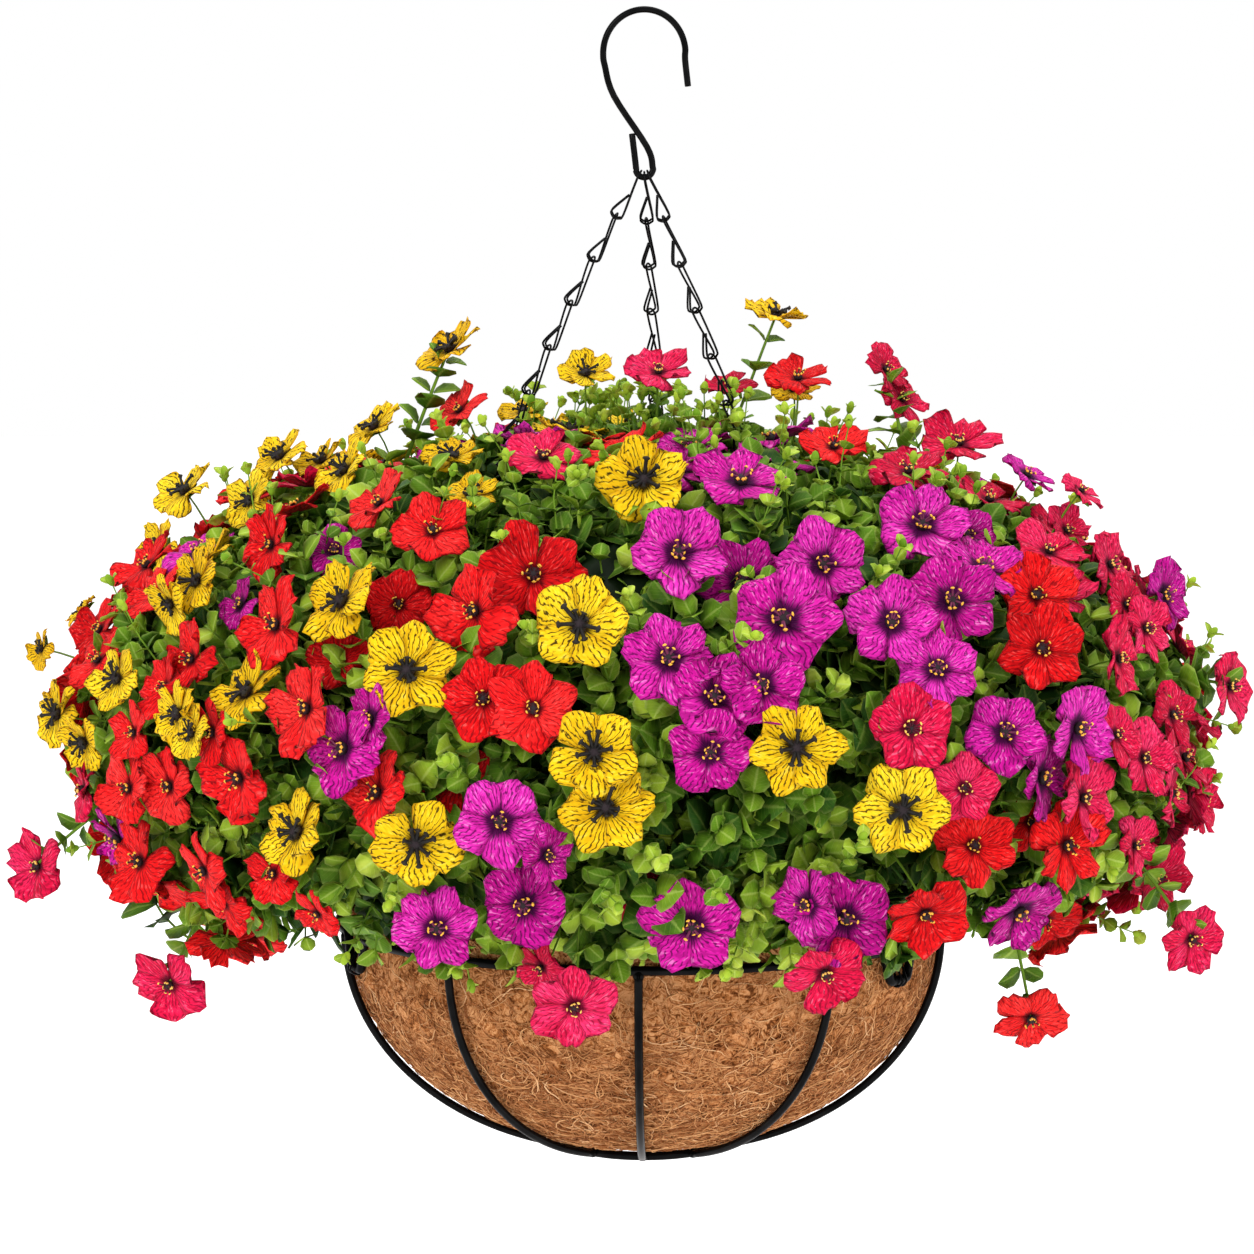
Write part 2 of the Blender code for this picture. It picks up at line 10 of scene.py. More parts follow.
import bpy
import numpy as np
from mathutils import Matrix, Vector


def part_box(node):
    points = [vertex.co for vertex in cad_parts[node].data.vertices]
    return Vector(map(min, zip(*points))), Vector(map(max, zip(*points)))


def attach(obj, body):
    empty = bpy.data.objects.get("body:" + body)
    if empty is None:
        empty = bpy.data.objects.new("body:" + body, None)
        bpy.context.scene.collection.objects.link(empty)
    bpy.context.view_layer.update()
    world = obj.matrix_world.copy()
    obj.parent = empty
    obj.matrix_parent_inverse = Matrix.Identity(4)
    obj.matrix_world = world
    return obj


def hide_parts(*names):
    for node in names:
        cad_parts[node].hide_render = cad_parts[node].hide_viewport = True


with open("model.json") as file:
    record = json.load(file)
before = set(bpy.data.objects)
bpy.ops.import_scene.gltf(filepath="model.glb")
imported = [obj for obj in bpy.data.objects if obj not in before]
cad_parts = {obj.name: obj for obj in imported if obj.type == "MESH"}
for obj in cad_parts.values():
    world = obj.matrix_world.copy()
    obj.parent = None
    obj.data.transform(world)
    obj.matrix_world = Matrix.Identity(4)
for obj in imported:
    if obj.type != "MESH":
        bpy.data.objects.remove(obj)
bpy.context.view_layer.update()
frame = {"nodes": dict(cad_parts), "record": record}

# Camera. It stands 1.9 m in front, a little above the rim, and looks slightly down at the basket.
# Colours are shown as they are, with no film curve over them.
CAMERA_PLACE = np.array([-0.0085, -1.9, -0.1334])
CAMERA_TILT = 5.08  # degrees down
CAMERA_ANGLE = 18.56  # degrees from side to side
camera = bpy.data.objects.new("camera", bpy.data.cameras.new("camera"))
camera.location = CAMERA_PLACE
camera.rotation_euler = (math.radians(90 - CAMERA_TILT), 0.0, 0.0)
camera.data.angle = math.radians(CAMERA_ANGLE)
camera.data.clip_end = 60.0
bpy.context.scene.collection.objects.link(camera)
bpy.context.scene.camera = camera
bpy.context.scene.view_settings.view_transform = "Standard"


# Studio. A plain white room with a pale, faintly mottled floor. Four broad soft lamps leave almost
# no shadow, and the room gives the rest of the light.
class Term:
    """A shader socket that takes part in sums."""

    def __init__(self, look, socket):
        self.look, self.socket = look, socket

    def sum(self, operation, *terms):
        return self.look.node("ShaderNodeMath", {"operation": operation}, dict(enumerate(terms)))

    def __add__(self, other):
        return self.sum("ADD", self, other)

    def __sub__(self, other):
        return self.sum("SUBTRACT", self, other)

    def __rsub__(self, other):
        return self.sum("SUBTRACT", other, self)

    def __mul__(self, other):
        return self.sum("MULTIPLY", self, other)

    def __abs__(self):
        return self.sum("ABSOLUTE", self)

    __radd__, __rmul__ = __add__, __mul__


class Look:
    """A material: a shader with its plain settings, and one method that adds a node."""

    def __init__(self, name, plain):
        self.made = bpy.data.materials.new(name)
        self.made.use_nodes = True
        self.tree = self.made.node_tree
        self.shader = self.tree.nodes["Principled BSDF"]
        self.feed(self.shader, plain)

    def feed(self, node, sockets):
        for name, value in sockets.items():
            if isinstance(value, Term):
                self.tree.links.new(value.socket, node.inputs[name])
            else:
                node.inputs[name].default_value = value

    def node(self, kind, settings, sockets, output=0):
        made = self.tree.nodes.new(kind)
        for name, value in settings.items():
            if name == "stops":
                ramp = made.color_ramp.elements
                ramp[0].position, ramp[-1].position = value[0][0], value[-1][0]
                for place, _ in value[1:-1]:
                    ramp.new(place)
                for stop, (_, colour) in zip(ramp, value):
                    stop.color = (*colour, 1.0)
            else:
                setattr(made, name, value)
        self.feed(made, sockets)
        return Term(self, made.outputs[output])

    def shade(self, **sockets):
        self.feed(self.shader, {name.replace("_", " "): value for name, value in sockets.items()})


def speckle(look, place, scale, detail=2.0, stretch=(1.0, 1.0, 1.0), **more):
    """A cloudy value from 0 to 1 that varies over a place, drawn out along the axes by a stretch."""
    drawn = look.node("ShaderNodeVectorMath", {"operation": "MULTIPLY"}, {0: place, 1: stretch})
    return look.node("ShaderNodeTexNoise", {}, {"Vector": drawn, "Scale": scale, "Detail": detail, **more})


def step(look, value, low, high, out_low=0.0, out_high=1.0):
    """Rises smoothly from one value to another as its input goes from low to high."""
    sockets = {"Value": value, 1: low, 2: high, 3: out_low, 4: out_high}
    return look.node("ShaderNodeMapRange", {"interpolation_type": "SMOOTHSTEP"}, sockets)


def ramp(look, value, *stops):
    return look.node("ShaderNodeValToRGB", {"stops": stops}, {0: value})


def mix(look, share, first, second, blend="MIX"):
    """Colour between two colours by a share, or their product with blend MULTIPLY."""
    first, second = [(*c, 1.0) if isinstance(c, tuple) and len(c) == 3 else c for c in (first, second)]
    settings = {"data_type": "RGBA", "blend_type": blend}
    return look.node("ShaderNodeMix", settings, {0: share, 6: first, 7: second}, 2)


def bump(look, height, strength, distance):
    return look.node("ShaderNodeBump", {}, {"Height": height, "Strength": strength, "Distance": distance})


def object_place(look):
    return look.node("ShaderNodeTexCoord", {}, {}, 3)


def surface_mesh(name, corners, quads, triangles=(), uv=None, marks=None):
    """A mesh from whole arrays: corners, four- and three-cornered faces, and values kept at the corners."""
    corners = np.asarray(corners, np.float32).reshape(-1, 3)
    quads = np.asarray(quads, np.int32).reshape(-1, 4)
    triangles = np.asarray(triangles, np.int32).reshape(-1, 3)
    ends = np.concatenate([quads.ravel(), triangles.ravel()])
    sizes = np.concatenate([np.full(len(quads), 4), np.full(len(triangles), 3)])
    mesh = bpy.data.meshes.new(name)
    mesh.vertices.add(len(corners))
    mesh.vertices.foreach_set("co", corners.ravel())
    mesh.loops.add(len(ends))
    mesh.loops.foreach_set("vertex_index", ends.astype(np.int32))
    mesh.polygons.add(len(sizes))
    mesh.polygons.foreach_set("loop_start", (np.cumsum(sizes) - sizes).astype(np.int32))
    mesh.update(calc_edges=True)
    if uv is not None:
        layer = mesh.uv_layers.new(name="surface")
        layer.uv.foreach_set("vector", np.asarray(uv, np.float32)[ends].ravel())
    for mark, values in (marks or {}).items():
        kept = mesh.attributes.new(mark, "FLOAT", "POINT")
        kept.data.foreach_set("value", np.asarray(values, np.float32).ravel())
    mesh.shade_smooth()
    return mesh


def piece(mesh, look, body, slot, *nodes):
    """The object of a mesh, riding on a body, standing for some nodes. The slot is not used."""
    made = bpy.data.objects.new(mesh.name, mesh)
    bpy.context.scene.collection.objects.link(made)
    mesh.materials.append(look.made)
    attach(made, body)
    if nodes:
        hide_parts(*nodes)
    return made


FLOOR_HEIGHT = -0.75
FLOOR_REACH = 14.0
FLOOR_SIDES = 64
ROOM_LIGHT = 0.86  # of the room's walls, which are plain white to look at
AIM = np.array([0.0, 0.0, -0.35])
LAMPS = (  # name, place, size and power
    ("key", (-1.3, -2.0, 1.1), 1.2, 30.0),
    ("fill", (1.8, -1.6, 0.3), 1.6, 12.0),
    ("top", (0.3, 0.2, 1.7), 1.4, 22.0),
    ("back", (-0.4, 2.2, 0.8), 1.6, 12.0),
)
floor_look = Look("pale_floor", {"Roughness": 0.9, "Emission Color": (1, 1, 1, 1), "Emission Strength": 0.45})
mottle = speckle(floor_look, object_place(floor_look), 3.0, 4.0)
floor_look.shade(Base_Color=ramp(floor_look, mottle, (0.0, (0.80, 0.80, 0.80)), (1.0, (0.86, 0.86, 0.86))))
floor_side = np.arange(FLOOR_SIDES)
floor_turns = floor_side * 2 * math.pi / FLOOR_SIDES
floor_edge = np.column_stack([np.cos(floor_turns), np.sin(floor_turns), 0 * floor_turns]) * FLOOR_REACH
floor_corners = np.vstack([floor_edge, [[0, 0, 0]]]) + (0, 0, FLOOR_HEIGHT)
floor_faces = np.column_stack([floor_side * 0 + FLOOR_SIDES, floor_side, (floor_side + 1) % FLOOR_SIDES])
floor_mesh = surface_mesh("floor", floor_corners, [], floor_faces)
floor = bpy.data.objects.new("floor", floor_mesh)
floor_mesh.materials.append(floor_look.made)
bpy.context.scene.collection.objects.link(floor)

room = bpy.data.worlds.new("white_room")
room.use_nodes = True
room_nodes, room_links = room.node_tree.nodes, room.node_tree.links
room_nodes["Background"].inputs["Color"].default_value = (1.0, 1.0, 1.0, 1.0)
sight_ray = room_nodes.new("ShaderNodeLightPath")
room_light = room_nodes.new("ShaderNodeMapRange")
room_light.inputs["To Min"].default_value = ROOM_LIGHT
room_links.new(sight_ray.outputs["Is Camera Ray"], room_light.inputs["Value"])
room_links.new(room_light.outputs["Result"], room_nodes["Background"].inputs["Strength"])
bpy.context.scene.world = room

for lamp_name, lamp_place, lamp_size, lamp_power in LAMPS:
    lamp = bpy.data.objects.new(lamp_name, bpy.data.lights.new(lamp_name, "AREA"))
    lamp.data.size, lamp.data.energy = lamp_size, lamp_power
    lamp.location = lamp_place
    aim = AIM - np.array(lamp_place)
    tilt = math.acos(-aim[2] / np.linalg.norm(aim))
    lamp.rotation_euler = (tilt, 0.0, math.atan2(aim[0], -aim[1]) + math.pi)
    bpy.context.scene.collection.objects.link(lamp)

# S-hook. One round steel wire, bent cold into a wide upper bend and a narrow lower one, cropped at
# both ends and powder-coated gloss black. It hangs on a bar, and the chains hang in its lower bend.
HOOK_WIRE = 0.0032
HOOK_TOP_HALF_WIDTH = 0.0202
HOOK_TOP_HEIGHT = 0.0214
OUTER_LINK_RISE = 0.00098  # of the two outer top links, from the middle of the lower bend
HOOK_DROP = 0.0802
HOOK_TIP_LENGTH = 0.0158
HOOK_TAIL_LENGTH = 0.0168
HOOK_SIDES = 18
LINK_WIRE = 0.0011
GAP = 0.0003
LINK_SLOT = LINK_WIRE + GAP + 0.00005  # room for one of the three links side by side
SEAT = (HOOK_WIRE + LINK_WIRE) / 2 + GAP
HOOK_LOOP_R = SEAT + math.hypot(LINK_SLOT, OUTER_LINK_RISE)

wire_look = Look("black_coated_wire", {"Coat Roughness": 0.08, "Specular IOR Level": 0.03})
wire_place = object_place(wire_look)
coat_cloud = speckle(wire_look, wire_place, 70.0, 3.0)
coat_grain = speckle(wire_look, wire_place, 1500.0, 2.0)
wire_look.shade(
    Base_Color=ramp(wire_look, coat_cloud, (0.3, (0.0012, 0.0012, 0.0014)), (0.75, (0.0042, 0.0042, 0.0046))),
    Roughness=0.24 + 0.22 * coat_cloud,
    Coat_Weight=step(wire_look, coat_cloud, 0.35, 0.65, 0.03, 0.09),
    Normal=bump(wire_look, coat_grain + 0.6 * coat_cloud, 0.06, 0.0001),
)


def unit(vectors):
    vectors = np.asarray(vectors, float)
    return vectors / np.linalg.norm(vectors, axis=-1, keepdims=True)


def toward(azimuth):
    """Horizontal unit vectors at azimuths in degrees."""
    turn = np.radians(azimuth)
    return np.stack([np.sin(turn), -np.cos(turn), np.zeros_like(turn)], axis=-1)


def along(azimuth):
    """Horizontal unit vectors square to toward(azimuth)."""
    turn = np.radians(azimuth)
    return np.stack([np.cos(turn), np.sin(turn), np.zeros_like(turn)], axis=-1)


def smooth(points, steps):
    """A curve through points: between two of them it is the cubic whose slopes follow their neighbours."""
    points = np.asarray(points, float)
    knots = np.vstack([2 * points[0] - points[1], points, 2 * points[-1] - points[-2]])
    t = (np.arange(steps) / steps)[None, :, None]
    a, b, c, d = (knots[first : first + len(points) - 1, None, :] for first in range(4))
    curve = 0.5 * (2 * b + (c - a) * t + (2 * a - 5 * b + 4 * c - d) * t**2 + (3 * b - a - 3 * c + d) * t**3)
    return np.vstack([curve.reshape(-1, points.shape[1]), points[-1]])


def skin_faces(stations, around, shapes=1, closed=False):
    """Faces between rings of corners, with the two ends covered, for a number of shapes of one kind.

    An even ring is covered by a strip of quads that joins each corner to the one opposite it, and a
    ring of three by one triangle.
    """
    rings = np.arange(stations if closed else stations - 1)
    ring, side = np.meshgrid(rings, np.arange(around), indexing="ij")
    after, beside = (ring + 1) % stations, (side + 1) % around
    quads = np.stack([ring, ring, after, after], -1) * around + np.stack([side, beside, beside, side], -1)
    quads, triangles = quads.reshape(-1, 4), np.zeros((0, 3), int)
    if not closed and around == 3:
        triangles = np.array([[0, 2, 1], [0, 1, 2]]) + [[0], [around * (stations - 1)]]
    elif not closed:
        low = np.arange(around // 2 - 1)
        strip = np.stack([around - 1 - low, around - 2 - low, low + 1, low], -1)
        quads = np.vstack([quads, strip, strip[:, ::-1] + around * (stations - 1)])
    offset = (np.arange(shapes) * stations * around)[:, None, None]
    return (quads + offset).reshape(-1, 4), (triangles + offset).reshape(-1, 3)


def wire(path, thickness, sides, closed=False, across=None):
    """Rings of corners round a path: a circle in the plane square to the path at each of its points.

    The circle starts from the direction across, made square to the path. Without one it is carried
    along the path from point to point, so that it doesn't twist.
    """
    path = np.asarray(path, float)
    ahead, behind = np.roll(path, -1, axis=0) - path, path - np.roll(path, 1, axis=0)
    if not closed:
        ahead[-1], behind[0] = behind[-1], ahead[0]
    heading = unit(unit(ahead) + unit(behind))
    if across is None:
        flat = np.empty_like(path)
        carried = np.eye(3)[np.argmin(np.abs(heading[0]))]
        for place, direction in enumerate(heading):
            carried = flat[place] = unit(carried - direction * np.dot(carried, direction))
    else:
        across = np.broadcast_to(across, path.shape)
        flat = unit(across - heading * np.sum(across * heading, axis=1, keepdims=True))
    turns = np.arange(sides) * 2 * math.pi / sides
    reach = np.broadcast_to(np.asarray(thickness) / 2, len(path))[:, None, None]
    up = np.cross(heading, flat)[:, None, :]
    circle = np.cos(turns)[:, None] * flat[:, None, :] + np.sin(turns)[:, None] * up
    return path[:, None, :] + reach * circle


def cropped(path, crop):
    """Wire thickness shares for a path whose two ends are slightly rounded off."""
    share = np.ones(len(path))
    share[[0, -1]] = crop
    return share


def arc(centre, reach, first, last, steps):
    """Points on a circle or ellipse in X and Z, between two angles from +X towards +Z."""
    turns = np.radians(np.linspace(first, last, steps))
    return np.column_stack([centre[0] + reach[0] * np.cos(turns), centre[1] + reach[1] * np.sin(turns)])


def hook_path():
    """The hook's wire in X and Z: the tip, the upper bend, a slack shank, the lower bend and the tail."""
    top_centre = (0.0, HOOK_WIRE / 2 - HOOK_TOP_HEIGHT)
    loop_centre = (0.0, HOOK_LOOP_R - HOOK_DROP)
    bend = arc(top_centre, (HOOK_TOP_HALF_WIDTH, HOOK_TOP_HEIGHT), -8, 196, 15)
    lower = np.array((HOOK_LOOP_R, loop_centre[1] + 0.2 * HOOK_LOOP_R))
    shank = bend[-1] + np.array([[0.30], [0.80]]) * (lower - bend[-1]) + [(-0.0026, 0.0), (0.0018, 0.0)]
    loop = arc(loop_centre, (HOOK_LOOP_R, HOOK_LOOP_R), 12, -192, 9)
    tip = (HOOK_TOP_HALF_WIDTH + 0.0012, top_centre[1] - HOOK_TIP_LENGTH)
    tail = (-HOOK_LOOP_R - 0.0018, loop_centre[1] + HOOK_TAIL_LENGTH)
    flat = smooth(np.vstack([tip, bend, shank, loop, tail]), 5)
    ends = flat[[0, -1]] + (flat[[0, -1]] - flat[[1, -2]]) * 0.12
    flat = np.vstack([ends[:1], flat, ends[1:]])
    return np.column_stack([flat[:, 0], np.zeros(len(flat)), flat[:, 1]])


hook_line = hook_path()
hook_rings = wire(hook_line, HOOK_WIRE * cropped(hook_line, 0.8), HOOK_SIDES, across=(0.0, 1.0, 0.0))
hook_mesh = surface_mesh("s_hook_wire", hook_rings, *skin_faces(len(hook_line), HOOK_SIDES))
piece(hook_mesh, wire_look, "hook", "black_coated_steel", "s_hook")

# Wire basket. The rim and the bottom ring are hoops, the ten ribs are bent to half an ellipse and
# spot-welded to both, and the rim dips where each chain hooks on. All of it is coated gloss black.
RIM_DROP = 0.448
RIM_R = 0.152
RIM_WIRE = 0.0045
DIP_DEPTH = 0.015
DIP_WIDTH = 0.026
RIB_COUNT = 10
RIB_WIRE = 0.004
RIB_TURN = -1.2
RIB_LINE_R = RIM_R + 0.001
BOWL_DEPTH = 0.117
BOTTOM_RING_R = 0.040
BOTTOM_RING_WIRE = 0.0045
BASKET_SIDES = 14  # corners round each of these wires
RIM_STATIONS, RING_STATIONS, RIB_STATIONS = 720, 96, 40
TOP_WELD, LOW_WELD = (0.0027, 0.0026, 0.0032), (0.0026, 0.0030, 0.0022)
chain_azimuths = RIB_TURN + 1.5 * 360 / RIB_COUNT + 120.0 * np.arange(3)
rib_azimuths = RIB_TURN + np.arange(RIB_COUNT) * 360 / RIB_COUNT
bottom_reach = BOTTOM_RING_R + BOTTOM_RING_WIRE / 2 + GAP
bottom_depth = BOWL_DEPTH * math.sqrt(1 - (bottom_reach / RIB_LINE_R) ** 2)


def chain_share(azimuths, flat_width, whole_width):
    """1 near a chain's azimuth and 0 away from it, with a smooth step, by the way along the rim."""
    off = (np.asarray(azimuths)[..., None] - chain_azimuths + 180) % 360 - 180
    way = np.min(np.abs(np.radians(off)), axis=-1) * RIM_R
    share = np.clip((whole_width - way) / (whole_width - flat_width), 0, 1)
    return share * share * (3 - 2 * share)


def bowl(shrink, depths):
    """Radius of the ribs' half ellipse, drawn in by an amount, at depths below the rim."""
    return (RIB_LINE_R - shrink) * np.sqrt(1 - (depths / (BOWL_DEPTH - shrink)) ** 2)


def ball(low, high, rows, around):
    """A ball of radius 1, as rings of corners at even latitudes from one to another, in radians."""
    rise = np.linspace(low, high, rows)[:, None]
    ring = np.linspace(0, 2 * math.pi, around, endpoint=False)[None, :]
    return np.stack([np.cos(rise) * np.cos(ring), np.cos(rise) * np.sin(ring), np.sin(rise) + 0 * ring], -1)


def beads(centres, reaches, turns):
    """Small welds or buds: balls drawn out to three reaches along directions, as rings of corners."""
    shape = ball(-math.pi / 2 * 0.97, math.pi / 2 * 0.97, 8, 12) * reaches
    return centres[:, None, None, :] + np.einsum("srk,nkj->nsrj", shape, turns)


rim_azimuths = np.linspace(0, 360, RIM_STATIONS, endpoint=False)
rim_heights = -RIM_DROP - DIP_DEPTH * chain_share(rim_azimuths, DIP_WIDTH / 4, DIP_WIDTH / 2)
rim_line = toward(rim_azimuths) * RIM_R + np.column_stack([np.zeros((RIM_STATIONS, 2)), rim_heights])
rim_rings = wire(rim_line, RIM_WIRE, BASKET_SIDES, True, (0, 0, 1))
rim_mesh = surface_mesh("rim_hoop", rim_rings, *skin_faces(RIM_STATIONS, BASKET_SIDES, closed=True))
piece(rim_mesh, wire_look, "basket", "black_coated_steel", "rim_ring")

hoop_azimuths = np.linspace(0, 360, RING_STATIONS, endpoint=False)
hoop_line = toward(hoop_azimuths) * BOTTOM_RING_R + (0, 0, -RIM_DROP - bottom_depth)
hoop_rings = wire(hoop_line, BOTTOM_RING_WIRE, BASKET_SIDES, True, (0, 0, 1))
hoop_mesh = surface_mesh("bottom_hoop", hoop_rings, *skin_faces(RING_STATIONS, BASKET_SIDES, closed=True))
piece(hoop_mesh, wire_look, "basket", "black_coated_steel", "bottom_ring")

rib_top = math.asin((RIM_WIRE / 2 - 0.001) / BOWL_DEPTH)
rib_low = math.asin(bottom_depth / BOWL_DEPTH)
rib_depths = np.sin(np.linspace(rib_top, rib_low, RIB_STATIONS)) * BOWL_DEPTH
rib_faces = skin_faces(RIB_STATIONS, BASKET_SIDES)
for rib, azimuth in enumerate(rib_azimuths):
    rib_down = (rib_depths[:, None] + RIM_DROP) * (0, 0, -1)
    rib_line = toward(azimuth) * bowl(0.0, rib_depths)[:, None] + rib_down
    rib_rings = wire(rib_line, RIB_WIRE, BASKET_SIDES, across=along(azimuth))
    rib_mesh = surface_mesh(f"basket_rib_{rib + 1:02d}", rib_rings, *rib_faces)
    piece(rib_mesh, wire_look, "basket", "black_coated_steel", f"rib_{rib + 1:02d}")

upright = np.tile([0.0, 0.0, 1.0], (RIB_COUNT, 1))
weld_turns = np.stack([along(rib_azimuths), -toward(rib_azimuths), upright], 1)
top_places = toward(rib_azimuths) * (RIM_R + 0.0004) + (0, 0, -RIM_DROP - 0.0022)
low_places = toward(rib_azimuths) * (bottom_reach - 0.0005) + (0, 0, -RIM_DROP - bottom_depth)
welds = np.concatenate([beads(top_places, TOP_WELD, weld_turns), beads(low_places, LOW_WELD, weld_turns)])
weld_mesh = surface_mesh("welds", welds, *skin_faces(8, 12, len(welds)))
piece(weld_mesh, wire_look, "basket", "black_coated_steel")

# Chains. Each link is one thin wire, bent into a round arch whose two legs run down and curl round
# the arch of the link below, and the last one curls round the rim. They are coated black.
CHAIN_SIDES = ("right", "back", "left")
CHAIN_BOWS = (0.005, 0.004, 0.020)
LINK_COUNT = 17
LOOSE_LINK_COUNT = 8
LINK_HALF_WIDTH = 0.0035
LINK_CURL_R = 0.0030
LINK_FOOT = 0.5 * LINK_HALF_WIDTH
LINK_TURN_STEP = 11.0
LINK_SIDES = 8


def chain_joints(chain):
    """Places where a chain's links meet, evenly along a shallow bow from the hook's bend to the rim."""
    out = toward(chain_azimuths[chain])
    end = out * RIM_R + (0, 0, -RIM_DROP - DIP_DEPTH)
    sideways = (1, 0, -1)[chain] * LINK_SLOT
    lean = unit(end + (0, 0, HOOK_DROP))
    rise = math.sqrt((HOOK_LOOP_R - SEAT) ** 2 - sideways**2)
    start = np.array([sideways, -lean[1] * SEAT, HOOK_LOOP_R - HOOK_DROP - rise])
    line = unit(end - start)
    out = unit(out - line * np.dot(out, line))
    shares = np.linspace(0, 1, 200)[:, None]
    route = start + shares * (end - start) + 4 * CHAIN_BOWS[chain] * shares * (1 - shares) * out
    lengths = np.concatenate([[0], np.cumsum(np.linalg.norm(np.diff(route, axis=0), axis=1))])
    wanted = np.linspace(0, lengths[-1], LINK_COUNT + 1)
    return np.column_stack([np.interp(wanted, lengths, route[:, axis]) for axis in range(3)])


def link_path(pitch, hold, curl):
    """A link's wire as (width, thickness, length) from its top: the arch, two legs and two curls."""
    half, foot, low = LINK_HALF_WIDTH, LINK_FOOT, pitch + hold
    side = np.array([
        (0.5 * half, 0.0, 0.134 * half), (0.866 * half, 0.0, 0.5 * half), (half, 0.0, half),
        (0.9 * half, -0.35 * curl, 0.45 * pitch), (foot, -curl, low - curl),
        (foot, -0.71 * curl, low - 0.29 * curl), (foot, 0.0, low), (foot, 0.71 * curl, low - 0.29 * curl),
        (0.96 * foot, curl, low - 1.1 * curl), (0.7 * foot, -0.2 * curl, 0.56 * pitch),
    ])
    return smooth(np.vstack([side[::-1] * (-1, 1, 1), (0.0, 0.0, 0.0), side]), 3)


def link_rings(chain, joints, link):
    """Rings of corners of one link. It is turned a step further than the link above, towards the rim."""
    pitch = np.linalg.norm(joints[link + 1] - joints[link])
    line = (joints[link + 1] - joints[link]) / pitch
    final = (chain_azimuths[chain] + 180) % 180 - 90
    width = toward(math.copysign(min(LINK_TURN_STEP * link, abs(final)), final))
    width = unit(width - line * np.dot(width, line))
    hold = LINK_HALF_WIDTH - math.sqrt((LINK_HALF_WIDTH - LINK_WIRE - GAP) ** 2 - LINK_FOOT**2)
    curl = LINK_CURL_R
    if link == LINK_COUNT - 1:
        hold = (RIM_WIRE + LINK_WIRE) / 2 + GAP
        curl = max(LINK_CURL_R, hold + 0.0001)
    path = link_path(pitch, hold, curl)
    world = joints[link] + path @ np.array([width, np.cross(line, width), line])
    return wire(world, LINK_WIRE, LINK_SIDES)


for chain, side in enumerate(CHAIN_SIDES):
    joints = chain_joints(chain)
    rings = np.stack([link_rings(chain, joints, link) for link in range(LINK_COUNT)])
    for link in range(LOOSE_LINK_COUNT):
        link_faces = skin_faces(rings.shape[1], LINK_SIDES)
        link_mesh = surface_mesh(f"wire_{side}_link_{link + 1:02d}", rings[link], *link_faces)
        piece(link_mesh, wire_look, "basket", "black_coated_steel", f"chain_{side}_link_{link + 1:02d}")
    run_faces = skin_faces(rings.shape[1], LINK_SIDES, LINK_COUNT - LOOSE_LINK_COUNT)
    run_mesh = surface_mesh(f"wire_{side}_lower_links", rings[LOOSE_LINK_COUNT:], *run_faces)
    piece(run_mesh, wire_look, "basket", "black_coated_steel", f"chain_{side}_lower_run")

# Coir liner. A bowl pressed from coconut fibre and latex, with a ragged lip. Loose fibres curl all
# over its two faces and stand proud of the lip.
LINER_WALL = 0.0075
LINER_RISE = 0.008
LINER_IN = RIB_WIRE / 2 + 0.0015 + 0.001  # from the ribs' middle line to the liner's outer face
LINER_NOTCH = 0.028
LINER_AROUND = 240
liner_floor = bottom_depth - BOTTOM_RING_WIRE / 2 - GAP


def ripple(points, wave, seed, waves=9):
    """A smooth uneven value about 0: the mean of sine waves of about one length in random directions."""
    draw = np.random.default_rng(seed)
    headings = unit(draw.normal(size=(waves, 3))) * 2 * math.pi / (wave * draw.uniform(0.6, 1.6, (waves, 1)))
    return np.sin(points @ headings.T + draw.uniform(0, 2 * math.pi, waves)).mean(axis=-1) * 2


def liner_lip(azimuths):
    """Height of the lip above the rim: uneven, and low where a chain crosses it."""
    ring = toward(azimuths)
    ragged = 0.0016 * ripple(ring * RIM_R, 0.03, 5) + 0.0009 * ripple(ring * RIM_R, 0.008, 6)
    return LINER_RISE + ragged - LINER_NOTCH * chain_share(azimuths, 0.006, 0.0125)


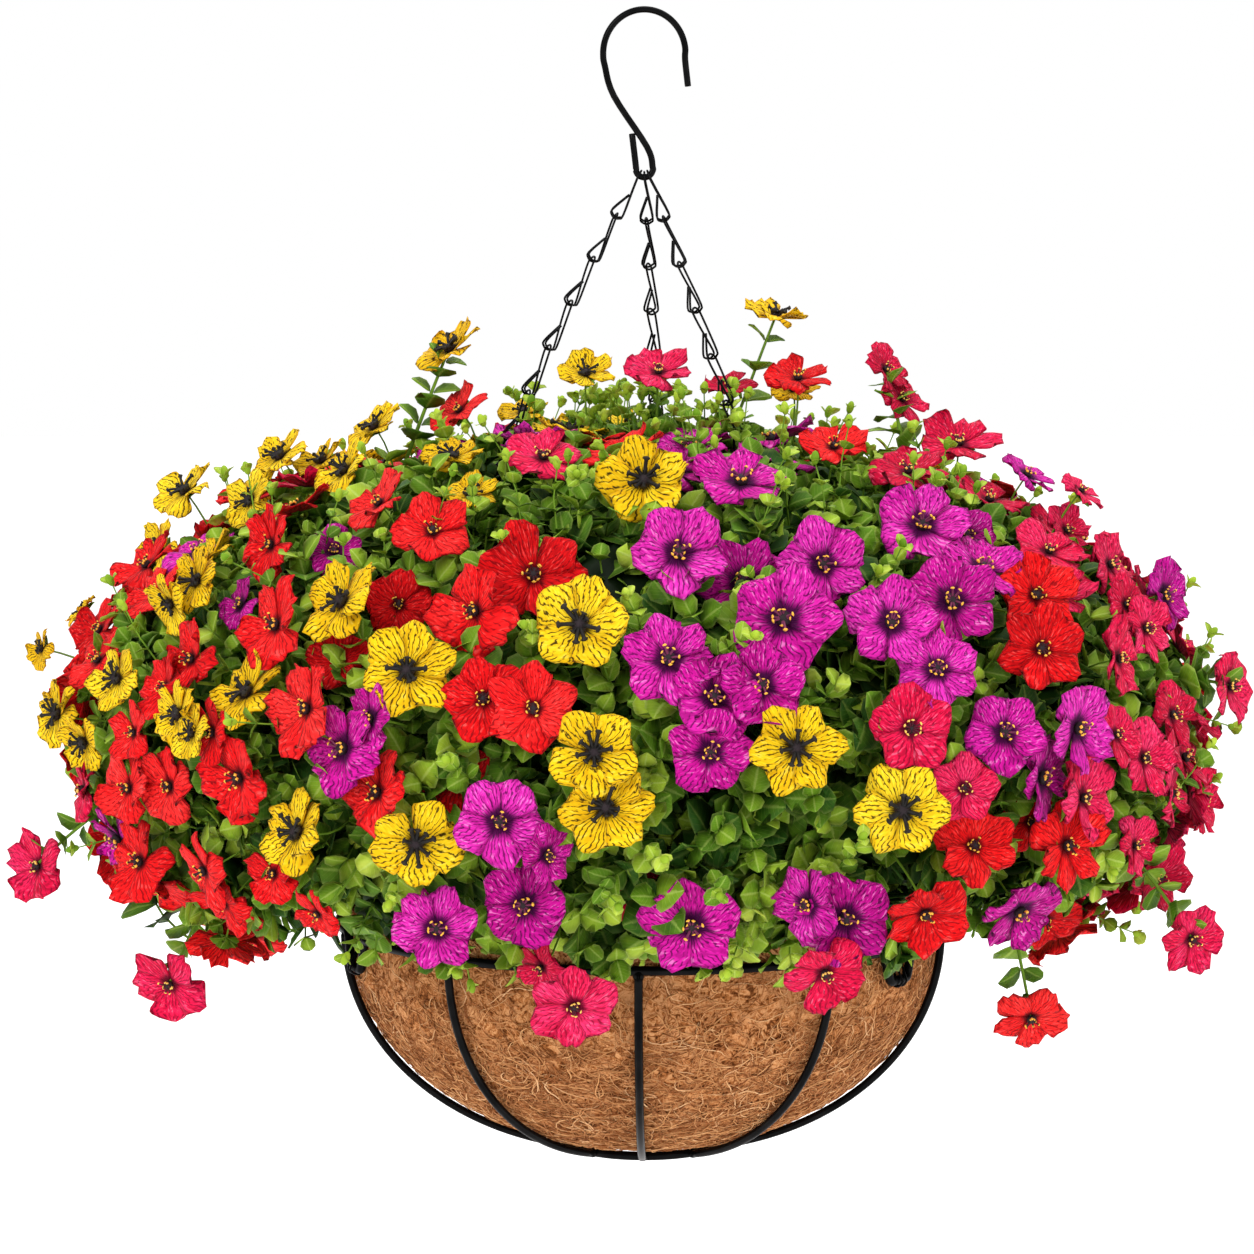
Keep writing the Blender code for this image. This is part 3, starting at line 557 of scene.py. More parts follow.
def liner_rings():
    """The bowl's section round the axis: the floor's middle, the outer face, a round lip, the inner face."""
    azimuths = np.linspace(0, 360, LINER_AROUND, endpoint=False)
    lip = liner_lip(azimuths)[None, :]
    outer_reach, inner_reach = RIB_LINE_R - LINER_IN, RIB_LINE_R - LINER_IN - LINER_WALL
    outer_deep, inner_deep = BOWL_DEPTH - LINER_IN, BOWL_DEPTH - LINER_IN - LINER_WALL
    outer_share, inner_share = np.linspace(0.02, 1, 36)[:, None], np.linspace(1, 0.02, 30)[:, None]
    outer_depth = outer_deep * np.sqrt(np.clip(1 - outer_share**2, 0, 1)) + 0.0 * lip
    inner_depth = inner_deep * np.sqrt(np.clip(1 - inner_share**2, 0, 1)) + 0.0 * lip
    outer_depth = np.maximum(np.minimum(outer_depth, liner_floor), -lip)
    inner_depth = np.maximum(np.minimum(inner_depth, liner_floor - LINER_WALL), -lip)
    outer_r = outer_reach * outer_share + 0.0 * lip
    inner_r = inner_reach * inner_share + 0.0 * lip
    bend = np.linspace(0.12, 0.88, 5)[:, None] * math.pi
    lip_r = outer_reach - LINER_WALL / 2 + LINER_WALL / 2 * np.cos(bend) + 0.0 * lip
    lip_depth = -lip - LINER_WALL * 0.35 * np.sin(bend)
    rise = np.linspace(0.3, 1, 3)[:, None]
    outer_up, inner_up = -lip * rise, -lip * rise[::-1]
    outer_wall = np.full_like(outer_up, outer_reach)
    radius = np.vstack([outer_r, outer_wall, lip_r, outer_wall - LINER_WALL, inner_r])
    depth = np.vstack([outer_depth, outer_up, lip_depth, inner_up, inner_depth])
    rings = toward(azimuths)[None] * radius[..., None] + (depth[..., None] + RIM_DROP) * (0, 0, -1)
    rough = 0.0005 * ripple(rings, 0.012, 1) + 0.0003 * ripple(rings, 0.004, 2)
    out = unit(np.stack([rings[..., 0], rings[..., 1], (rings[..., 2] + RIM_DROP) * 1.4], -1))
    lip_middle = len(outer_r) + len(outer_wall) + len(bend) // 2
    inner = (np.arange(len(radius)) > lip_middle)[:, None, None]
    return rings + out * np.where(inner, -1, 1) * rough[..., None]


liner_grid = liner_rings()
liner_quads, _ = skin_faces(len(liner_grid), LINER_AROUND)
liner_quads = liner_quads[: (len(liner_grid) - 1) * LINER_AROUND, ::-1]
liner_poles = liner_grid[[0, -1]].mean(axis=1)
around, last_ring = np.arange(LINER_AROUND), (len(liner_grid) - 1) * LINER_AROUND
beside, pole = (around + 1) % LINER_AROUND, len(liner_grid) * LINER_AROUND
liner_fans = np.vstack([
    np.column_stack([around, beside, 0 * around + pole]),
    np.column_stack([last_ring + beside, last_ring + around, 0 * around + pole + 1]),
])
liner_corners = np.vstack([liner_grid.reshape(-1, 3), liner_poles])

coir_look = Look("coir_wall", {"Specular IOR Level": 0.03})
coir_place = object_place(coir_look)
coir_cloud = speckle(coir_look, coir_place, 55.0, 4.0)
coir_waver = coir_look.node("ShaderNodeTexNoise", {}, {"Vector": coir_place, "Scale": 90.0, "Detail": 3.0}, 1)
coir_bent = mix(coir_look, 0.02, coir_place, coir_waver)
coir_strand_a = speckle(coir_look, coir_bent, 420.0, 3.0, (1.0, 1.0, 0.16), Distortion=0.6)
coir_strand_b = speckle(coir_look, coir_bent, 420.0, 3.0, (0.18, 0.2, 1.0), Distortion=0.6)
coir_ridge = 1.0 - 2.0 * abs(coir_strand_a - 0.5)
coir_ridge_b = 1.0 - 2.0 * abs(coir_strand_b - 0.5)
coir_height = coir_ridge * 0.5 + coir_ridge_b * 0.5
coir_tone = step(coir_look, coir_height, 0.62, 0.98) * 0.75 + 0.25 * coir_cloud
coir_look.shade(
    Base_Color=ramp(coir_look, coir_tone, (0.0, (0.025, 0.007, 0.002)), (0.35, (0.15, 0.045, 0.012)),
                    (0.7, (0.43, 0.155, 0.046)), (1.0, (0.80, 0.42, 0.19))),
    Roughness=0.95 - 0.15 * coir_height,
    Normal=bump(coir_look, coir_height, 0.8, 0.0015),
)
liner_mesh = surface_mesh("coir_wall", liner_corners, liner_quads, liner_fans)
piece(liner_mesh, coir_look, "basket", "coir", "coir_liner")

FIBRE_WIDTH = 0.00062
FIBRE_STEPS = 7
fibre_draw = np.random.default_rng(11)


def fibres(count, inner, low_share):
    """Curled strands on a face of the bowl: a heading that turns steadily and wavers, stepped over the face.

    Each strand lifts off the face in the middle, by a sine over its length, and its ends sink in.
    """
    shrink = LINER_IN + (LINER_WALL if inner else 0.0)
    azimuths = fibre_draw.uniform(0, 360, count)
    share = np.sqrt(fibre_draw.uniform(low_share**2, 1, count))
    depth = (BOWL_DEPTH - shrink) * np.sqrt(1 - share**2)
    at_lip = fibre_draw.uniform(0, 1, count) < 0.06
    depth = np.where(at_lip, fibre_draw.uniform(-LINER_RISE, 0.01, count), depth)
    depth = np.minimum(depth, liner_floor)
    length = fibre_draw.uniform(0.010, 0.030, count)
    heading = fibre_draw.uniform(0, 2 * math.pi, count)
    bend = fibre_draw.normal(0, 1.7, count)
    waver = fibre_draw.uniform(0.2, 0.9, count)
    phase = fibre_draw.uniform(0, 2 * math.pi, count)
    t = np.linspace(0, 1, FIBRE_STEPS)
    angle = heading[:, None] + bend[:, None] * t + waver[:, None] * np.sin(2 * math.pi * t + phase[:, None])
    pace = (length / (FIBRE_STEPS - 1))[:, None]
    way_round = np.cumsum(np.cos(angle) * pace, axis=1) - pace
    way_down = np.cumsum(np.sin(angle) * pace, axis=1) - pace
    slope = np.arcsin(np.clip(depth / (BOWL_DEPTH - shrink), -1, 1))[:, None] + way_down / 0.13
    radius = (RIB_LINE_R - shrink) * np.where(slope > 0, np.cos(slope), 1.0)
    down = (BOWL_DEPTH - shrink) * np.where(slope > 0, np.sin(slope), slope)
    turn = azimuths[:, None] + np.degrees(way_round / np.maximum(radius, 0.03))
    down = np.maximum(down, -liner_lip(turn) - 0.001)
    proud = fibre_draw.uniform(0.0004, 0.0019, (count, 1))
    lift = np.sin(math.pi * t) * proud + fibre_draw.uniform(0, 0.0003, (count, 1))
    limit = liner_floor - (LINER_WALL if inner else 0.0)
    normal = unit(toward(turn) * np.cos(slope)[..., None] + np.sin(slope)[..., None] * (0, 0, -1))
    path = toward(turn) * radius[..., None] + (np.minimum(down, limit)[..., None] + RIM_DROP) * (0, 0, -1)
    path = path + normal * (-lift if inner else lift)[..., None]
    ahead = np.gradient(path, axis=1)
    beside = unit(np.cross(ahead, normal))
    upward = unit(np.cross(beside, ahead))
    thick = FIBRE_WIDTH / 2 * fibre_draw.uniform(0.6, 1.25, (count, 1)) * (1 - 0.5 * np.abs(2 * t - 1) ** 3)
    turns = np.arange(3) * 2 * math.pi / 3
    ring = np.cos(turns)[:, None] * beside[:, :, None, :] + np.sin(turns)[:, None] * upward[:, :, None, :]
    return path[:, :, None, :] + thick[..., None, None] * ring


fibre_look = Look("coir_fibres", {"Specular IOR Level": 0.08})
fibre_tone = fibre_look.node("ShaderNodeAttribute", {"attribute_name": "tone"}, {}, 2)
fibre_cloud = speckle(fibre_look, object_place(fibre_look), 420.0, 2.0)
fibre_shade = 0.78 * fibre_tone + 0.3 * fibre_cloud
fibre_look.shade(
    Base_Color=ramp(fibre_look, fibre_shade, (0.05, (0.10, 0.030, 0.008)), (0.4, (0.36, 0.130, 0.042)),
                    (0.75, (0.66, 0.32, 0.125)), (1.0, (0.92, 0.60, 0.33))),
    Roughness=0.85 - 0.2 * fibre_cloud,
    Normal=bump(fibre_look, fibre_cloud, 0.3, 0.0002),
)
for fibre_name, fibre_count, fibre_inner, fibre_low in (
    ("coir_fibres_outer_a", 3900, False, 0.30), ("coir_fibres_outer_b", 3900, False, 0.30),
    ("coir_fibres_inner", 800, True, 0.95),
):
    strands = fibres(fibre_count, fibre_inner, fibre_low)
    tone = np.repeat(fibre_draw.beta(2.0, 1.8, fibre_count), strands.shape[1] * 3)
    fibre_faces = skin_faces(FIBRE_STEPS, 3, fibre_count)
    fibre_mesh = surface_mesh(fibre_name, strands, *fibre_faces, marks={"tone": tone})
    piece(fibre_mesh, fibre_look, "basket", "coir")

# Foam block. Florist's dry foam, cut to sit in the liner, with a crumbly top that the stems go into.
FOAM_TOP_DROP = 0.022
FOAM_HEIGHT = 0.054
FOAM_SIDE_GAP = 0.016
FOAM_AROUND = 96


def foam_rings():
    """The block's section round the axis: flat ends, sides that follow the bowl, and rounded edges."""
    azimuths = np.linspace(0, 360, FOAM_AROUND, endpoint=False)
    depths = np.linspace(FOAM_TOP_DROP, FOAM_TOP_DROP + FOAM_HEIGHT, 12)
    side = bowl(LINER_IN + LINER_WALL, depths) - FOAM_SIDE_GAP
    side[[0, -1]] -= 0.002
    shares = np.linspace(0.03, 0.97, 12)
    radius = np.concatenate([side[0] * shares, side, side[-1] * shares[::-1]])
    depth = np.concatenate([np.full(12, depths[0]), depths, np.full(12, depths[-1])])
    rings = toward(azimuths)[None] * radius[:, None, None] + (depth[:, None, None] + RIM_DROP) * (0, 0, -1)
    crumb = 0.0007 * ripple(rings, 0.009, 3) + 0.0004 * ripple(rings, 0.003, 4)
    return rings - unit(rings + (0, 0, RIM_DROP + 0.05)) * np.abs(crumb)[..., None]


foam_look = Look("floral_foam", {"Specular IOR Level": 0.1})
foam_place = object_place(foam_look)
foam_pore = foam_look.node("ShaderNodeTexVoronoi", {}, {"Vector": foam_place, "Scale": 900.0})
foam_cloud = speckle(foam_look, foam_place, 60.0, 4.0)
foam_tone = foam_cloud * 0.7 + foam_pore * 0.3
foam_look.shade(
    Base_Color=ramp(foam_look, foam_tone, (0.2, (0.02, 0.04, 0.015)), (0.8, (0.10, 0.17, 0.07))),
    Roughness=0.85 + 0.15 * foam_cloud,
    Normal=bump(foam_look, foam_pore, 0.7, 0.0008),
)
foam_grid = foam_rings()
foam_quads, _ = skin_faces(len(foam_grid), FOAM_AROUND)
foam_mesh = surface_mesh("foam_block_cut", foam_grid, foam_quads[:, ::-1])
piece(foam_mesh, foam_look, "basket", "foam", "foam_block")

# Leaves. Every plant is a bundle of wired sprigs, each with pairs of small round silk leaves that
# are dyed mid green with paler edges. The sprigs fill a dome and hide a near-black lump of painted shade.
DOME_MIDDLE = np.array([-0.004, 0.0, 0.103 - RIM_DROP])
DOME_REACH = np.array([0.268, 0.240, 0.138])
DOME_BELOW = 0.128  # depth of the dome's lower half
DOME_FULLNESS = 3.2
BUSH_COUNT = 9
BUSH_STEP = 360 / BUSH_COUNT
bush_azimuths = chain_azimuths[0] + (np.arange(BUSH_COUNT) + 0.5) * BUSH_STEP


def dome_depth(points, grow=0.0):
    """Under 1 inside the plants' dome and over 1 outside: an ellipsoid above its middle, fuller below it."""
    off = points - DOME_MIDDLE
    level = (off[..., 0] / (DOME_REACH[0] + grow)) ** 2 + (off[..., 1] / (DOME_REACH[1] + grow)) ** 2
    above = np.maximum(off[..., 2], 0) / (DOME_REACH[2] + grow)
    below = np.maximum(-off[..., 2], 0) / (DOME_BELOW + grow)
    return level + above**2 + below**DOME_FULLNESS


def on_dome(starts, headings, reach, grow=0.0):
    """Where lines from starts first cross the dome's skin, and whether they do, by 500 even steps."""
    ways = np.linspace(0, reach, 500)
    lines = starts[:, None] + ways[:, None] * headings[:, None]
    crossed = np.diff((dome_depth(lines, grow) > 1).astype(int), axis=1) != 0
    return starts + ways[np.argmax(crossed, axis=1)][:, None] * headings, crossed.any(axis=1)


def dome_normal(points):
    """Outward directions of the dome's skin: how fast its depth rises along each axis."""
    tiny = 0.0005
    rises = [dome_depth(points + tiny * axis) - dome_depth(points - tiny * axis) for axis in np.eye(3)]
    return unit(np.stack(rises, -1))


def skin_over(azimuths, rises, reach, grow=0.0):
    """Points on the dome's skin, out from its middle at azimuths and at rises that its shape flattens."""
    ways = toward(azimuths) * np.cos(rises)[:, None] + np.sin(rises)[:, None] * (0, 0, 1)
    points, _ = on_dome(np.broadcast_to(DOME_MIDDLE, ways.shape), unit(ways * (1.0, 0.9, 0.62)), reach, grow)
    return points


def plant_under(points):
    """Numbers of the plants round the rim that points lie over, counted from the first chain."""
    azimuths = np.degrees(np.arctan2(points[:, 0], -points[:, 1]))
    return np.floor((azimuths - chain_azimuths[0]) % 360 / BUSH_STEP).astype(int) % BUSH_COUNT


def frames(forward, hint):
    """Three square directions for each piece: across, up towards the hint, and forward."""
    forward = unit(forward)
    across = unit(np.cross(hint, forward))
    return np.stack([across, np.cross(forward, across), forward], axis=-2)


def leaf_shapes(count, draw):
    """Round leaves lying along Y: a closed skin of four corners a station, folded at the midrib.

    The half width is a sine over the length, filled out at the base. The leaf droops by the square
    of its length, and its edges wave.
    """
    v = np.array([0.0, 0.15, 0.46, 0.80, 1.0])
    half = np.array([0.05, 0.34, 0.53, 0.43, 0.09])
    fold = draw.uniform(0.10, 0.34, (count, 1))
    droop = draw.uniform(-0.05, 0.42, (count, 1))
    wave = draw.uniform(-0.06, 0.06, (count, 2, 1)) * np.sin(v * 7 + draw.uniform(0, 6, (count, 1, 1)))
    half = half * draw.uniform(0.85, 1.15, (count, 1))
    middle, out = -droop * v**2, np.broadcast_to(v, half.shape)
    left = np.stack([-half, out, middle + fold * half + wave[:, 0]], -1)
    right = np.stack([half, out, middle + fold * half + wave[:, 1]], -1)
    rib = np.stack([0 * half, out, middle], -1)
    shapes = np.stack([left, rib - (0, 0, 0.025), right, rib + (0, 0, 0.01)], axis=2)
    uv = np.stack(np.broadcast_arrays(np.array([0.0, 0.5, 1.0, 0.5]), v[:, None]), -1)
    return shapes, uv


def placed(shapes, turns, places, sizes):
    """Shapes scaled, turned and put in place, one by one."""
    return places[:, None, None, :] + np.einsum("nsrk,nkj->nsrj", shapes * sizes[:, None, None, None], turns)


def stalks(paths, thickness, sides=3):
    """Thin stems along paths of a few points each, as rings of corners, tapering to the end."""
    heading = unit(np.gradient(paths, axis=1))
    across = unit(np.cross(heading, unit(np.array([0.31, 0.17, 0.93]))))
    up = np.cross(heading, across)
    turns = np.arange(sides) * 2 * math.pi / sides
    taper = (thickness / 2)[:, None] * np.linspace(1, 0.6, paths.shape[1])
    ring = np.cos(turns)[:, None] * across[:, :, None] + np.sin(turns)[:, None] * up[:, :, None]
    return paths[:, :, None, :] + taper[:, :, None, None] * ring


def sprig_leaves(tips, headings, lengths, leaf_size, pairs, draw, first_share=0.3):
    """Paths of sprigs, and the pairs of leaves up each of them, every pair square to the one below."""
    count = len(tips)
    sway = unit(np.cross(headings, draw.normal(size=(count, 3))))
    t = np.linspace(0, 1, 5)
    bow = (lengths * draw.uniform(0.1, 0.5, count))[:, None, None]
    curve = (t * (1 - t))[None, :, None] * sway[:, None] * bow
    paths = tips[:, None] - headings[:, None] * (lengths[:, None] * (1 - t))[..., None] + curve
    shares = np.linspace(first_share, 1.0, pairs)
    joint = np.array([[np.interp(shares, t, path[:, axis]) for axis in range(3)] for path in paths])
    joint = joint.transpose(0, 2, 1)
    spin = draw.uniform(0, 2 * math.pi, (count, 1)) + np.arange(pairs) * math.pi / 2
    spin = spin + draw.normal(0, 0.25, (count, pairs))
    base = frames(headings, np.array([0.2, 0.1, 1.0]))
    side = np.cos(spin)[..., None] * base[:, None, 0] + np.sin(spin)[..., None] * base[:, None, 1]
    side = np.stack([side, -side], axis=2)
    rise = (0.35 + 0.9 * shares**2)[None, :, None, None] * draw.uniform(0.6, 1.3, (count, pairs, 2, 1))
    ahead = unit(side + rise * headings[:, None, None])
    up = unit(headings[:, None, None] - side * rise * 0.8 + draw.normal(0, 0.25, ahead.shape))
    size = leaf_size[:, None, None] * (1.05 - 0.45 * shares**2)[None, :, None]
    size = size * draw.uniform(0.75, 1.2, ahead.shape[:3])
    # Leaves low on a sprig, deep in the dome, get a darker tone: painted shade. Those near its tip are paler,
    # as young leaves are.
    tone = (0.04 + 0.66 * shares**2)[None, :, None] + draw.normal(0, 0.13, (count, 1, 1))
    tone = tone + draw.normal(0, 0.09, ahead.shape[:3])
    place = joint[:, :, None] + 0 * side
    ahead, up, place = (value.reshape(-1, 3) for value in (ahead, up, place))
    across = unit(np.cross(ahead, up))
    turns = np.stack([across, ahead, np.cross(across, ahead)], axis=-2)
    return paths, place, turns, size.ravel(), np.clip(tone.ravel(), 0.02, 1)


def leafy_mesh(name, paths, stem_width, leaves, draw, shade_lump=None):
    """One mesh of stems, leaves and, for a whole plant, the near-black lump of painted shade inside it."""
    places, turns, sizes, tones = leaves
    shapes, uv = leaf_shapes(len(places), draw)
    blades = placed(shapes, turns, places, sizes)
    parts = [(blades, np.tile(uv, (len(places), 1, 1, 1)), np.repeat(tones, shapes[0, ..., 0].size))]
    stems = stalks(paths, stem_width)
    parts.append((stems, np.full((*stems.shape[:3], 2), 0.25), np.full(stems[..., 0].size, 0.55)))
    if shade_lump is not None:
        # The lump's tone lies below every leaf's, so it takes the darkest green: painted shade.
        parts.append((shade_lump[None], np.full((1, *shade_lump.shape[:2], 2), 0.3), np.full(shade_lump[..., 0].size, -0.4)))
    corners, quads, triangles, seen = [], [], [], 0
    for rings, _, _ in parts:
        faces = skin_faces(rings.shape[1], rings.shape[2], rings.shape[0])
        quads.append(faces[0] + seen)
        triangles.append(faces[1] + seen)
        corners.append(rings.reshape(-1, 3))
        seen += rings[..., 0].size
    uv = np.vstack([part[1].reshape(-1, 2) for part in parts])
    tone = np.concatenate([part[2] for part in parts])
    return surface_mesh(name, np.vstack(corners), np.vstack(quads), np.vstack(triangles), uv, {"tone": tone})


leaf_look = Look("silk_leaf", {"Specular IOR Level": 0.12})
leaf_place = object_place(leaf_look)
leaf_uv = leaf_look.node("ShaderNodeTexCoord", {}, {}, 2)
leaf_axes = leaf_look.node("ShaderNodeSeparateXYZ", {}, {0: leaf_uv})
leaf_length = leaf_look.node("ShaderNodeSeparateXYZ", {}, {0: leaf_uv}, 1)
leaf_tone = leaf_look.node("ShaderNodeAttribute", {"attribute_name": "tone"}, {}, 2)
leaf_off = abs(leaf_axes - 0.5) * 2.0
leaf_cloud = speckle(leaf_look, leaf_place, 130.0, 3.0)
leaf_midrib = step(leaf_look, leaf_off, 0.16, 0.02)
leaf_margin = step(leaf_look, leaf_off, 0.72, 1.0)
leaf_line = leaf_length * 7.0 - leaf_off * 2.4
leaf_line = abs(leaf_line.sum("FRACT", leaf_line) - 0.5)
leaf_vein = step(leaf_look, leaf_line, 0.10, 0.0) * step(leaf_look, leaf_tone, 0.02, 0.15)
# Tones near 0 and below run to near black: painted shade for leaves deep in a plant and for the lump inside
# it.
leaf_base = ramp(leaf_look, leaf_tone * 0.75 + leaf_cloud * 0.35 - 0.05, (0.0, (0.004, 0.012, 0.002)),
                 (0.28, (0.022, 0.080, 0.006)), (0.55, (0.120, 0.255, 0.010)), (0.85, (0.37, 0.52, 0.035)),
                 (1.0, (0.66, 0.76, 0.12)))
leaf_pale = (leaf_midrib * 0.5 + leaf_margin * 0.5 + leaf_vein * 0.25) * (0.10 + leaf_tone)
leaf_look.shade(
    Base_Color=mix(leaf_look, leaf_pale, leaf_base, (0.55, 0.70, 0.16)),
    Roughness=0.5 + 0.25 * leaf_cloud,
    Normal=bump(leaf_look, leaf_cloud * 0.5 - leaf_vein * 0.4 - leaf_midrib * 0.5, 0.45, 0.0008),
)


def bush_shade_lump(number):
    """The painted shade inside one plant: a near-black, rough, rounded wedge between the planes midway to its
    neighbours.

    Its half breadth is its radius times the sine of half the step between plants, and it is drawn in
    all round so that the leaves hide it.
    """
    lump = ball(-math.pi / 2 * 0.96, math.pi / 2 * 0.96, 22, 28)
    if number < BUSH_COUNT:
        low, high = (np.array(corner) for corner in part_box(f"bush_{number + 1:02d}"))
        out, up, middle = 0.080, 0.090, 0.130
        breadth = (middle + lump[..., 0] * out) * math.sin(math.radians(BUSH_STEP / 2)) * 0.94
        basis = np.array([toward(bush_azimuths[number]), along(bush_azimuths[number]), (0, 0, 1)])
        centre = toward(bush_azimuths[number]) * middle + (0, 0, high[2] - 0.132)
        shape = centre + np.stack([lump[..., 0] * out, lump[..., 1] * breadth, lump[..., 2] * up], -1) @ basis
    else:
        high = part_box("bush_centre")[1]
        centre = np.array([0, 0, high[2] - 0.125])
        shape = centre + lump * (0.040, 0.040, 0.094)
    rough = 0.006 * ripple(shape, 0.03, 20 + number) + 0.003 * ripple(shape, 0.010, 40 + number)
    return shape + unit(shape - centre) * rough[..., None]


SPRIG_COUNT = 2080
SPRIG_STALK = 0.0016
LEAF_PAIRS = 4
LEAF_LENGTHS = (0.0138, 0.0218)
CENTRE_REACH = 0.048  # of the plant in the middle
YOUNG_LEAVES = (0.045, -0.198, -0.418)  # a patch of pale young leaves, low at the front
YOUNG_REACH = 0.034
leaf_draw = np.random.default_rng(21)
golden_turn = math.degrees(math.pi * (3 - math.sqrt(5)))
sprig_azimuths = np.arange(SPRIG_COUNT) * golden_turn + leaf_draw.normal(0, 2.0, SPRIG_COUNT)
sprig_rise = np.arcsin(np.linspace(math.sin(math.radians(-38)), 0.999, SPRIG_COUNT))
skin_points = skin_over(sprig_azimuths, sprig_rise, 0.40)
sprig_headings = unit(dome_normal(skin_points) + leaf_draw.normal(0, 0.34, skin_points.shape) + (0, 0, 0.12))
sprig_tips = skin_points + dome_normal(skin_points) * leaf_draw.uniform(-0.024, 0.005, (SPRIG_COUNT, 1))
sprig_lengths = leaf_draw.uniform(0.034, 0.058, SPRIG_COUNT)
sprig_owner = plant_under(sprig_tips)
sprig_owner[np.hypot(sprig_tips[:, 0], sprig_tips[:, 1]) < CENTRE_REACH] = BUSH_COUNT

for number in range(BUSH_COUNT + 1):
    own = sprig_owner == number
    leaf_size = leaf_draw.uniform(*LEAF_LENGTHS, own.sum())
    sprigs = (sprig_tips[own], sprig_headings[own], sprig_lengths[own])
    paths, *leaves = sprig_leaves(*sprigs, leaf_size, LEAF_PAIRS, leaf_draw, 0.42)
    young = np.exp(-np.sum((leaves[0] - YOUNG_LEAVES) ** 2, axis=1) / YOUNG_REACH**2)
    leaves[3] = np.clip(leaves[3] + 0.38 * young, 0, 1)
    node = f"bush_{number + 1:02d}" if number < BUSH_COUNT else "bush_centre"
    stems = np.full(len(paths), SPRIG_STALK)
    leafy = leafy_mesh(f"leaves_{node}", paths, stems, leaves, leaf_draw, bush_shade_lump(number))
    piece(leafy, leaf_look, "basket", "plant_leaf", node)

# Blooms. Each head is five or six broad silk petals, printed with veins and pressed into ripples,
# round a button with stamens. A wired stalk holds it to the plant's leaves.
PETAL_ACROSS, PETAL_ALONG = 7, 8
PETAL_WALL = 0.030  # of the head's radius
bloom_draw = np.random.default_rng(33)


def petal_shapes(heads, draw):
    """Petals of flower heads of radius 1, facing +Z: closed skins, by an across value a and an along value s.

    The half width follows a spoon's outline, widest at three quarters of the way out. The outer edge
    curves back with a squared, and has a notch and small waves. The petal rises by s squared, its
    rim ripples with a, and one side lies over the next petal.
    """
    petals = 6
    a = np.linspace(-1, 1, PETAL_ACROSS)[None, None, :]
    s = np.linspace(0, 1, PETAL_ALONG)[None, :, None]

    def vary(low, high):
        return draw.uniform(low, high, (heads, petals))[..., None, None]

    five = draw.uniform(0, 1, heads) < 0.72
    order = np.arange(petals)[None, :]
    step_angle = np.where(five, 72.0, 60.0)[:, None]
    angle = order * step_angle + draw.uniform(0, 360, (heads, 1))
    angle = np.radians(angle + draw.normal(0, 4, (heads, petals)))
    outline = np.interp(s, (0.0, 0.2, 0.45, 0.68, 0.86, 1.0), (0.07, 0.19, 0.37, 0.48, 0.48, 0.39))
    width = vary(0.90, 1.12) * np.where(five, 1.0, 0.86)[:, None, None, None] * outline
    out = s * vary(0.92, 1.05)
    rounding = vary(0.27, 0.38) * s**3 * np.abs(a) ** 2.2
    notch = vary(0.0, 0.07) * s**4 * np.exp(-((a / 0.25) ** 2))
    far = out - rounding - notch + 0.022 * s**3 * np.sin(vary(5, 9) * a + vary(0, 6))
    rise = vary(-0.10, 0.16) * s + vary(0.02, 0.26) * s**2 - vary(0.0, 0.22) * s**4
    ripples = vary(0.04, 0.10) * s**2 * np.sin(vary(4, 8) * a + vary(0, 6))
    cup = vary(-0.12, 0.08) * np.abs(a) ** 2 * s
    lift = rise + ripples + 0.13 * a * s - 0.10 * (1 - s) ** 2 + cup
    top = np.stack([a * width, far + 0 * a, lift], -1)
    ring = np.concatenate([top, (top - (0, 0, PETAL_WALL))[..., ::-1, :]], axis=3)
    c, n, z = np.cos(angle), np.sin(angle), np.zeros_like(angle)
    turns = np.stack([np.stack([c, n, z], -1), np.stack([-n, c, z], -1), np.stack([z, z, z + 1], -1)], -2)
    shapes = np.einsum("hpsrk,hpkj->hpsrj", ring, turns)
    a_uv = np.concatenate([a[0, 0], a[0, 0, ::-1]]) * 0.5 + 0.5
    uv = np.stack([np.broadcast_to(a_uv, ring.shape[2:4]), np.broadcast_to(s[0], ring.shape[2:4])], -1)
    kept = (order < np.where(five, 5, 6)[:, None])
    return shapes, uv, kept


# For each colour: the rods' length and thickness over the head's radius, how far they lean out, the
# button's size over the radius, and the colours of the rods and of their tips.
STAMENS = {
    "yellow": (0.42, 0.054, 0.9, 0.17, (0.006, 0.004, 0.003), (0.009, 0.006, 0.003)),
    "red": (0.30, 0.028, 0.6, 0.13, (0.045, 0.002, 0.005), (0.85, 0.48, 0.05)),
    "pink": (0.30, 0.028, 0.6, 0.12, (0.08, 0.003, 0.015), (0.90, 0.60, 0.12)),
    "purple": (0.34, 0.030, 0.6, 0.15, (0.16, 0.02, 0.07), (0.95, 0.50, 0.05)),
}
STAMEN_COUNT = 9


